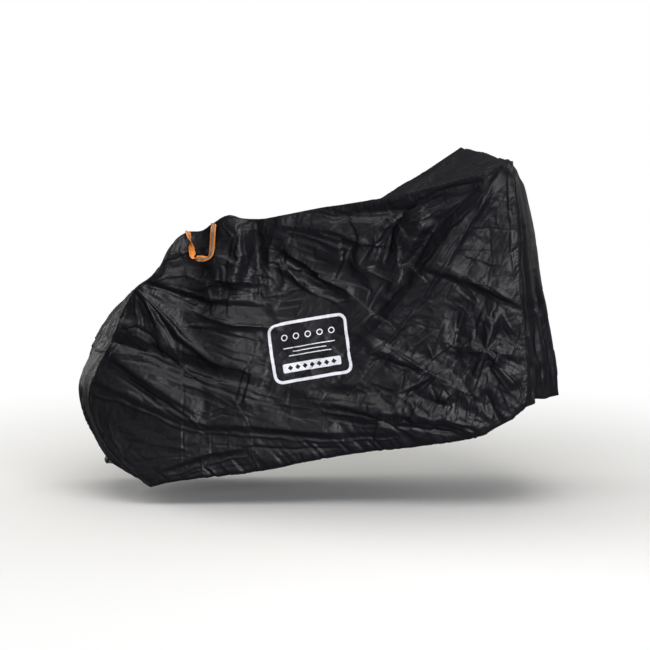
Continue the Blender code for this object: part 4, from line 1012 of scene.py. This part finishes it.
near_places, near_edge = strip_places(near_base)
far_places, far_edge = strip_places(far_base)
even = run_lengths(near_edge)
strip_at = np.interp(np.linspace(0.0, even[-1], STRIP_LONG + 1), even, near_places)
starts = on_edge(strip_at, near_places, near_edge)
ends = on_edge(strip_at, far_places, far_edge)
crown = smooth(strip_at, STRIP_CROWN[:, 0], STRIP_CROWN[:, 1:] / MM)
across = np.linspace(0.0, 1.0, STRIP_WIDE + 1)
across -= 0.5 * np.sin(2 * math.pi * across) / (2 * math.pi)     # finer beside the seams
strip_base = np.empty((STRIP_LONG + 1, STRIP_WIDE + 1, 3))
for row, (start, end, offsets) in enumerate(zip(starts, ends, crown)):
    lift = np.zeros((5, 3))
    lift[1:4, 0], lift[1:4, 2] = offsets[0::2], offsets[1::2]
    quarters = np.linspace(0.0, 1.0, 5)
    strip_base[row] = start + across[:, None] * (end - start) + smooth(across, quarters, lift)
lengths = run_lengths(strip_base[:, STRIP_WIDE // 2])[:, None] + 0 * across
widths = np.linalg.norm(ends - starts, axis=1)[:, None] * across
raised = fold_height(lengths, widths, STRIP_FOLDS) * np.clip(8 * across * (1 - across), 0, 1)
strip_base = strip_base + surface_normals(strip_base) * raised[..., None]

edge_far = np.minimum(widths, widths[:, -1:] - widths)
hem_far = np.minimum(lengths, lengths[-1:] - lengths)
raised = crumple_height(lengths, widths, STRIP_CRUMPLES, STRIP_SEED) * STRIP_CRUMPLED
raised += crease_height(lengths, widths, STRIP_CREASES, STRIP_SEED + CREASE_DRAWS)
raised *= np.clip(edge_far / FLAT_BY_SEAM, 0.0, 1.0) * np.clip(hem_far / FLAT_BY_HEM, 0.0, 1.0)
strip_shape = strip_base + surface_normals(strip_base) * raised[..., None]
strip_shape[..., 2] -= MOUNT_HEIGHT
# The pleats of the front hang under their own weight, so the cloth simulation moves them least.
free = np.interp(strip_at, (0.88, 1.05), (0.25, 1.0))[:, None, None]
settled = settle(strip_shape, edge_far < ON_EDGE, STRIP_GROWTH, STRIP_MOST)
strip_shape += free * (settled - strip_shape)
strip = closed_sheet("strip_cloth", strip_shape, CLOTH_THICK,
                     flat_places(strip_shape, STRIP_LONG // 2, STRIP_WIDE // 2))
dress_panel(strip, black_taffeta, "centre_strip")


# ---- Seam and hem stitching --------------------------------------------------------------------
# Black polyester thread, lockstitched: one row beside each seam, through the allowance that is
# folded under the panel, and one row at the top of the turned hem. The real thread is 0.3 mm thick
# and its stitches 3 mm long. Both are drawn larger, because they would not show.

STITCH_LONG = 0.0046
STITCH_PITCH = 0.0062
STITCH_THICK = 0.0008
SEAM_ROW = 0.006          # from the sewn edge to the row of stitches
HEM_ROW = HEM_TALL - 0.002     # and from the hem's edge to its row
ROW_END = 0.004           # how far from the end of a row its stitches stop


def row_beside(grid, edge, away):
    """Points and normals along a grid's `edge`, `away` metres in from it."""
    def turned(field):
        return {"hem": field, "top": field[::-1], "rear": field.transpose(1, 0, 2),
                "front": field.transpose(1, 0, 2)[::-1]}[edge]
    sheet, normals = turned(grid), turned(surface_normals(grid))
    inward = run_grid(sheet, 0)
    points, ways = np.empty((sheet.shape[1], 3)), np.empty((sheet.shape[1], 3))
    for column in range(sheet.shape[1]):
        for axis in range(3):
            points[column, axis] = np.interp(away, inward[:, column], sheet[:, column, axis])
            ways[column, axis] = np.interp(away, inward[:, column], normals[:, column, axis])
    return points, ways


def stitches(name, rows, material):
    """One mesh of thread: a spindle of twelve faces for each stitch along each row."""
    points, faces = [], []
    for path, ways in rows:
        lengths = run_lengths(path)
        starts = np.arange(ROW_END, lengths[-1] - STITCH_LONG - ROW_END, STITCH_PITCH)
        at = np.stack([starts, starts + STITCH_LONG])
        first, last = (np.stack([np.interp(row, lengths, path[:, axis]) for axis in range(3)], axis=1)
                       for row in at)
        out = np.stack([np.interp(at.mean(0), lengths, ways[:, axis]) for axis in range(3)], axis=1)
        out /= np.linalg.norm(out, axis=1, keepdims=True)
        side = np.cross(last - first, out)
        side *= STITCH_THICK / 2 / np.linalg.norm(side, axis=1, keepdims=True)
        rise = out * STITCH_THICK / 2
        for begin, end, across, up in zip(first, last, side, rise):
            base = len(points)
            points.append(begin - up)
            for share in (0.2, 0.8):
                middle = begin + share * (end - begin) + up * 0.4
                points.extend((middle - across, middle - up, middle + across, middle + up))
            points.append(end - up)
            for k in range(4):
                after = (k + 1) % 4
                faces.append((base, base + 1 + after, base + 1 + k))
                faces.append((base + 1 + k, base + 1 + after, base + 5 + after, base + 5 + k))
                faces.append((base + 5 + k, base + 5 + after, base + 9))
    mesh = bpy.data.meshes.new(name)
    mesh.from_pydata([tuple(point) for point in points], [], faces)
    mesh.shade_smooth()
    piece = bpy.data.objects.new(name, mesh)
    bpy.context.scene.collection.objects.link(piece)
    piece.data.materials.append(material)
    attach(piece, "root")
    return piece


# Sewing thread: spun polyester, dyed black. To the eye it is matt, a shade lighter than the cloth,
# and ribbed by its twist, which is drawn coarser than it is, 2.4 mm a turn. Its colour is painted
# darker in the twist's grooves and lighter on its ridges: painted shade and highlight.
black_thread, tree, shader = new_material("black_polyester_thread")
place = add(tree, "TexCoord").outputs["Object"]
twist = add(tree, "TexWave", [("Vector", place)], bands_direction="DIAGONAL", Scale=260.0)
# Darker in the twist's grooves and lighter on its ridges, as the bump rises and falls: painted shade and
# highlight.
shade = add(tree, "Mix", [("Factor", twist.outputs["Fac"]), ("A", linear("#131318")),
                          ("B", linear("#26262c"))], data_type="RGBA")
tree.links.new(shade.outputs["Result"], shader.inputs["Base Color"])
shader.inputs["Roughness"].default_value = 0.7
raised_twist = add(tree, "Bump", [("Height", twist.outputs["Fac"])], Strength=0.4, Distance=0.0002)
tree.links.new(raised_twist.outputs["Normal"], shader.inputs["Normal"])


def panel_stitches(name, shape):
    """The rows beside a panel's three seams and the row along its hem."""
    rows = [row_beside(shape, edge, SEAM_ROW) for edge in ("top", "rear", "front")]
    rows.append(row_beside(shape, "hem", HEM_ROW))
    return stitches(name, rows, black_thread)


near_stitches = panel_stitches("near_panel_stitches", near_shape)
far_stitches = panel_stitches("far_panel_stitches", far_shape)
strip_rows = [row_beside(strip_shape, edge, HEM_ROW) for edge in ("hem", "top")]
strip_stitches = stitches("strip_stitches", strip_rows, black_thread)


# ---- Pull loop ---------------------------------------------------------------------------------
# Orange polyester webbing, 22 mm wide, with a grey-beige reflective tape sewn along the middle of
# its face. Both ends are caught in the near panel's top seam. One arm is twisted, so that its
# plain back shows, and the bottom folds over itself beside it.

WEBBING_WIDE = 0.022
WEBBING_THICK = 0.0015
TAPE_WIDE = 0.0115
Bend = namedtuple("Bend", "x height out turn")       # turn in degrees: 0 shows the face, 180 the back
PULL_LOOP = [Bend(*row) for row in (
    (-0.4780, 0.9560, 0.003, 30.0), (-0.4735, 0.9390, 0.008, 62.0), (-0.4690, 0.9210, 0.013, 108.0),
    (-0.4665, 0.9050, 0.011, 152.0), (-0.4645, 0.8890, 0.010, 172.0), (-0.4610, 0.8760, 0.012, 196.0),
    (-0.4560, 0.8680, 0.014, 270.0), (-0.4470, 0.8660, 0.011, 335.0), (-0.4330, 0.8650, 0.010, 350.0),
    (-0.4180, 0.8655, 0.013, 410.0), (-0.4060, 0.8700, 0.014, 425.0), (-0.3980, 0.8810, 0.012, 412.0),
    (-0.3950, 0.8960, 0.010, 396.0), (-0.3930, 0.9170, 0.010, 393.0), (-0.3915, 0.9400, 0.010, 394.0),
    (-0.3895, 0.9640, 0.009, 396.0), (-0.3875, 0.9790, 0.007, 400.0),
)]
LOOP_STEPS = 150
LAID_ON = 0.020           # the cloth within this of a bend is what the bend is laid on
CAUGHT = (0.0, 0.0014, 0.005)          # from the seam out and down to where it is caught
START_LEFT_OFF = 0.004    # how much of the path's start the webbing leaves off, and of its end
END_LEFT_OFF = 0.007

seam = near_shape[-1]
cloth = near_shape.reshape(-1, 3)
knots = []
for bend in PULL_LOOP:
    height = bend.height - MOUNT_HEIGHT
    close = np.hypot(cloth[:, 0] - bend.x, cloth[:, 2] - height) < LAID_ON
    knots.append((bend.x, cloth[close, 1].min() - bend.out, height))
# The path starts where it is caught, and is caught again just before its last bend, so that its
# last 5 to 6 mm turn out from the seam.
first, last = (tuple(seam[np.argmin(np.abs(seam[:, 0] - bend.x))] - CAUGHT)
               for bend in (PULL_LOOP[0], PULL_LOOP[-1]))
knots = np.array([first, *knots[:-1], last, knots[-1]])
places = run_lengths(knots)
steps = np.linspace(START_LEFT_OFF, places[-1] - END_LEFT_OFF, LOOP_STEPS + 1)
middles = smooth(steps, places, knots)
turns = [bend.turn for bend in PULL_LOOP]
turns = np.radians(smooth(steps, places, [turns[0] - 20.0, *turns, turns[-1]]))
ways = np.gradient(middles, axis=0)
ways /= np.linalg.norm(ways, axis=1, keepdims=True)
flatwise = np.cross(ways, (0.0, -1.0, 0.0))
flatwise /= np.linalg.norm(flatwise, axis=1, keepdims=True)
edgewise = np.cross(flatwise, ways)
sides = flatwise * np.cos(turns)[:, None] + edgewise * np.sin(turns)[:, None]
faces_out = np.cross(sides, ways)

# The section, from one selvedge over the face to the other and back under it: across, out, and the
# place across that its pattern reads, 40 mm more on the back, which has no tape.
half, thick = WEBBING_WIDE / 2, WEBBING_THICK
section = [(-half, 0.4 * thick), (-0.95 * half, 0.5 * thick), (-0.55 * half, 0.42 * thick),
           (-0.5 * half, 0.56 * thick), (0.0, 0.60 * thick), (0.5 * half, 0.56 * thick),
           (0.55 * half, 0.42 * thick), (0.95 * half, 0.5 * thick), (half, 0.4 * thick)]
section += [(-x, -out) for x, out in section]
ring = len(section)
points = []
for middle, side, out in zip(middles, sides, faces_out):
    points.extend(tuple(middle + side * x + out * rise) for x, rise in section)
faces = []
for row in range(LOOP_STEPS):
    for k in range(ring):
        after = (k + 1) % ring
        faces.append((row * ring + k, row * ring + after, (row + 1) * ring + after, (row + 1) * ring + k))
faces.append(tuple(range(ring - 1, -1, -1)))
faces.append(tuple(LOOP_STEPS * ring + k for k in range(ring)))
mesh = bpy.data.meshes.new("pull_loop_webbing")
mesh.from_pydata(points, [], faces)
web = mesh.uv_layers.new(name="web")
for corner, loop in enumerate(mesh.loops):
    row, k = divmod(loop.vertex_index, ring)
    back = 0.04 if section[k][1] < 0 else 0.0
    web.data[corner].uv = (section[k][0] + back, steps[row])
mesh.shade_smooth()
pull_loop = bpy.data.objects.new("pull_loop_webbing", mesh)
bpy.context.scene.collection.objects.link(pull_loop)

# Dyed polyester webbing with a reflective tape. To the eye the webbing is a matt, warm orange with
# ribs across it, drawn 2.4 mm apart, its colour painted darker between the ribs as painted shade;
# the tape is a smoother grey-beige with slanted lines, drawn 4.2 mm apart, where its glass beads
# are bonded.
orange_webbing, tree, shader = new_material("orange_woven_webbing")
place = add(tree, "UVMap", uv_map="web").outputs["UV"]
split = add(tree, "SeparateXYZ", [("Vector", place)])
from_middle = add(tree, "Math", [(0, split.outputs["X"])], operation="ABSOLUTE").outputs[0]
tape = add(tree, "MapRange", [("Value", from_middle)], From_Min=TAPE_WIDE / 2 - 0.0003,
           From_Max=TAPE_WIDE / 2 + 0.0003, To_Min=1.0, To_Max=0.0).outputs["Result"]
ribs = add(tree, "TexWave", [("Vector", place)], bands_direction="Y", Scale=131.0, Distortion=0.4,
           Detail=1.0).outputs["Fac"]
grid = add(tree, "TexWave", [("Vector", place)], bands_direction="DIAGONAL", Scale=105.0).outputs["Fac"]
fade = add(tree, "TexNoise", [("Vector", place)], Scale=45.0, Detail=3.0).outputs["Fac"]
# Lighter on the ribs and darker in the grooves between them, as the bump rises and falls: painted shade.
orange_with_rib_shade = add(tree, "Mix", [("Factor", ribs), ("A", linear("#d8741f")), ("B", linear("#f59a42"))],
           data_type="RGBA")
beads = add(tree, "Mix", [("Factor", grid), ("A", linear("#8d7b68")), ("B", linear("#ab9a86"))],
            data_type="RGBA")
soiled = add(tree, "Mix", [("Factor", fade), ("A", beads.outputs["Result"]), ("B", linear("#857766"))],
             data_type="RGBA")
colour = add(tree, "Mix", [("Factor", tape), ("A", orange_with_rib_shade.outputs["Result"]), ("B", soiled.outputs["Result"])],
             data_type="RGBA")
tree.links.new(colour.outputs["Result"], shader.inputs["Base Color"])
dull = add(tree, "MapRange", [("Value", tape)], To_Min=0.75, To_Max=0.38)
tree.links.new(dull.outputs["Result"], shader.inputs["Roughness"])
weave = add(tree, "Bump", [("Height", ribs)], Strength=0.5, Distance=0.0004)
tree.links.new(weave.outputs["Normal"], shader.inputs["Normal"])
pull_loop.data.materials.append(orange_webbing)
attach(pull_loop, "root")
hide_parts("pull_loop")

# Two rows of thread beside the tape's edges hold it on the webbing. They have no place on the web
# map, so they take the tape's colour.
tape_rows = [(middles + sides * (sign * TAPE_WIDE * 0.46) + faces_out * 0.62 * thick, faces_out)
             for sign in (-1, 1)]
stitches("pull_loop_stitches", tape_rows, orange_webbing)


# ---- Floor, light and camera -------------------------------------------------------------------
# A plain pale floor that runs out into a white ground, broad soft boxes above and at the sides, low
# reflectors in front and a dim sky, as in a studio. The camera looks down on the loop's side a little.

FLOOR_HEIGHT = -0.945     # 20 mm below the ground that heights are counted from
FLOOR_WIDE = 60.0

bpy.ops.mesh.primitive_plane_add(size=FLOOR_WIDE, location=(0.0, 0.0, FLOOR_HEIGHT))
floor = bpy.context.object
floor.name = "floor"
floor_paint, tree, shader = new_material("pale_floor")
place = add(tree, "TexCoord")
ring = add(tree, "VectorMath", [("Vector", place.outputs["Object"])], operation="LENGTH")
far_out = add(tree, "MapRange", [("Value", ring.outputs["Value"])], interpolation_type="SMOOTHSTEP",
              From_Min=0.7, From_Max=2.7)
rays = add(tree, "LightPath")
level = add(tree, "MapRange", [("Value", rays.outputs["Is Camera Ray"])], To_Min=0.04, To_Max=1.0)
white = add(tree, "Emission", [("Strength", level.outputs["Result"])], Color=(1.0, 1.0, 1.0, 1.0))
blend = add(tree, "MixShader", [(0, far_out.outputs["Result"]), (1, shader.outputs[0]),
                                (2, white.outputs[0])])
tree.links.new(blend.outputs[0], tree.nodes["Material Output"].inputs["Surface"])
pale = add(tree, "Mix", [("Factor", rays.outputs["Is Camera Ray"]), ("A", (0.16, 0.16, 0.18, 1.0)),
                         ("B", (0.84, 0.84, 0.84, 1.0))], data_type="RGBA")
tree.links.new(pale.outputs["Result"], shader.inputs["Base Color"])
shader.inputs["Roughness"].default_value = 0.9
floor.data.materials.append(floor_paint)

world = bpy.data.worlds.new("studio")
bpy.context.scene.world = world
world.use_nodes = True
tree = world.node_tree
tree.nodes.clear()
rays = add(tree, "LightPath")
seen = add(tree, "Background", Color=(1.0, 1.0, 1.0, 1.0), Strength=1.0)
way = add(tree, "TexCoord")
split = add(tree, "SeparateXYZ", [("Vector", way.outputs["Generated"])])
sky = add(tree, "ValToRGB", [("Fac", split.outputs["Z"])])
low, high = sky.color_ramp.elements
low.position, low.color = 0.45, (0.050, 0.050, 0.062, 1.0)
high.position, high.color = 0.95, (0.45, 0.44, 0.40, 1.0)
around = add(tree, "Background", [("Color", sky.outputs["Color"])], Strength=1.0)
mix = add(tree, "MixShader", [(0, rays.outputs["Is Camera Ray"]), (1, around.outputs[0]),
                              (2, seen.outputs[0])])
add(tree, "OutputWorld", [("Surface", mix.outputs[0])])

Softbox = namedtuple("Softbox", "name x y z wide tall power colour")
for box in (
    Softbox("top_box", 0.0, -2.8, 3.8, 5.0, 2.6, 136.0, (1.0, 0.98, 0.97)),
    Softbox("high_box", 0.0, 0.6, 4.2, 4.6, 2.6, 40.0, (1.0, 0.99, 0.94)),
    Softbox("right_box", 3.0, -5.2, 0.5, 2.4, 2.6, 182.0, (0.96, 0.97, 1.0)),
    Softbox("left_box", -4.6, 1.6, 1.2, 2.6, 3.0, 112.0, (1.0, 1.0, 0.96)),
    Softbox("low_box", 0.75, -2.9, -0.90, 1.1, 1.6, 46.0, (0.97, 0.98, 1.0)),
    Softbox("low_left_box", -2.6, -5.4, -0.62, 1.8, 0.5, 11.0, (0.97, 0.98, 1.0)),
    Softbox("rear_right_box", 4.6, 2.0, 1.4, 2.6, 3.0, 44.0, (1.0, 1.0, 0.94)),
):
    lamp = bpy.data.lights.new(box.name, "AREA")
    lamp.shape, lamp.size, lamp.size_y = "RECTANGLE", box.wide, box.tall
    lamp.energy, lamp.color = box.power, box.colour
    holder = bpy.data.objects.new(box.name, lamp)
    bpy.context.scene.collection.objects.link(holder)
    holder.location = (box.x, box.y, box.z)
    holder.visible_camera = False
    holder.rotation_euler = (-Vector(holder.location)).to_track_quat("-Z", "Y").to_euler()

lens = bpy.data.cameras.new("camera")
lens.lens, lens.sensor_width = 142.56, 36.0
camera = bpy.data.objects.new("camera", lens)
bpy.context.scene.collection.objects.link(camera)
camera.location = (0.0, -9.225, 0.915)
camera.rotation_euler = (math.radians(82.3), 0.0, 0.0)
bpy.context.scene.camera = camera
bpy.context.scene.view_settings.view_transform = "Standard"
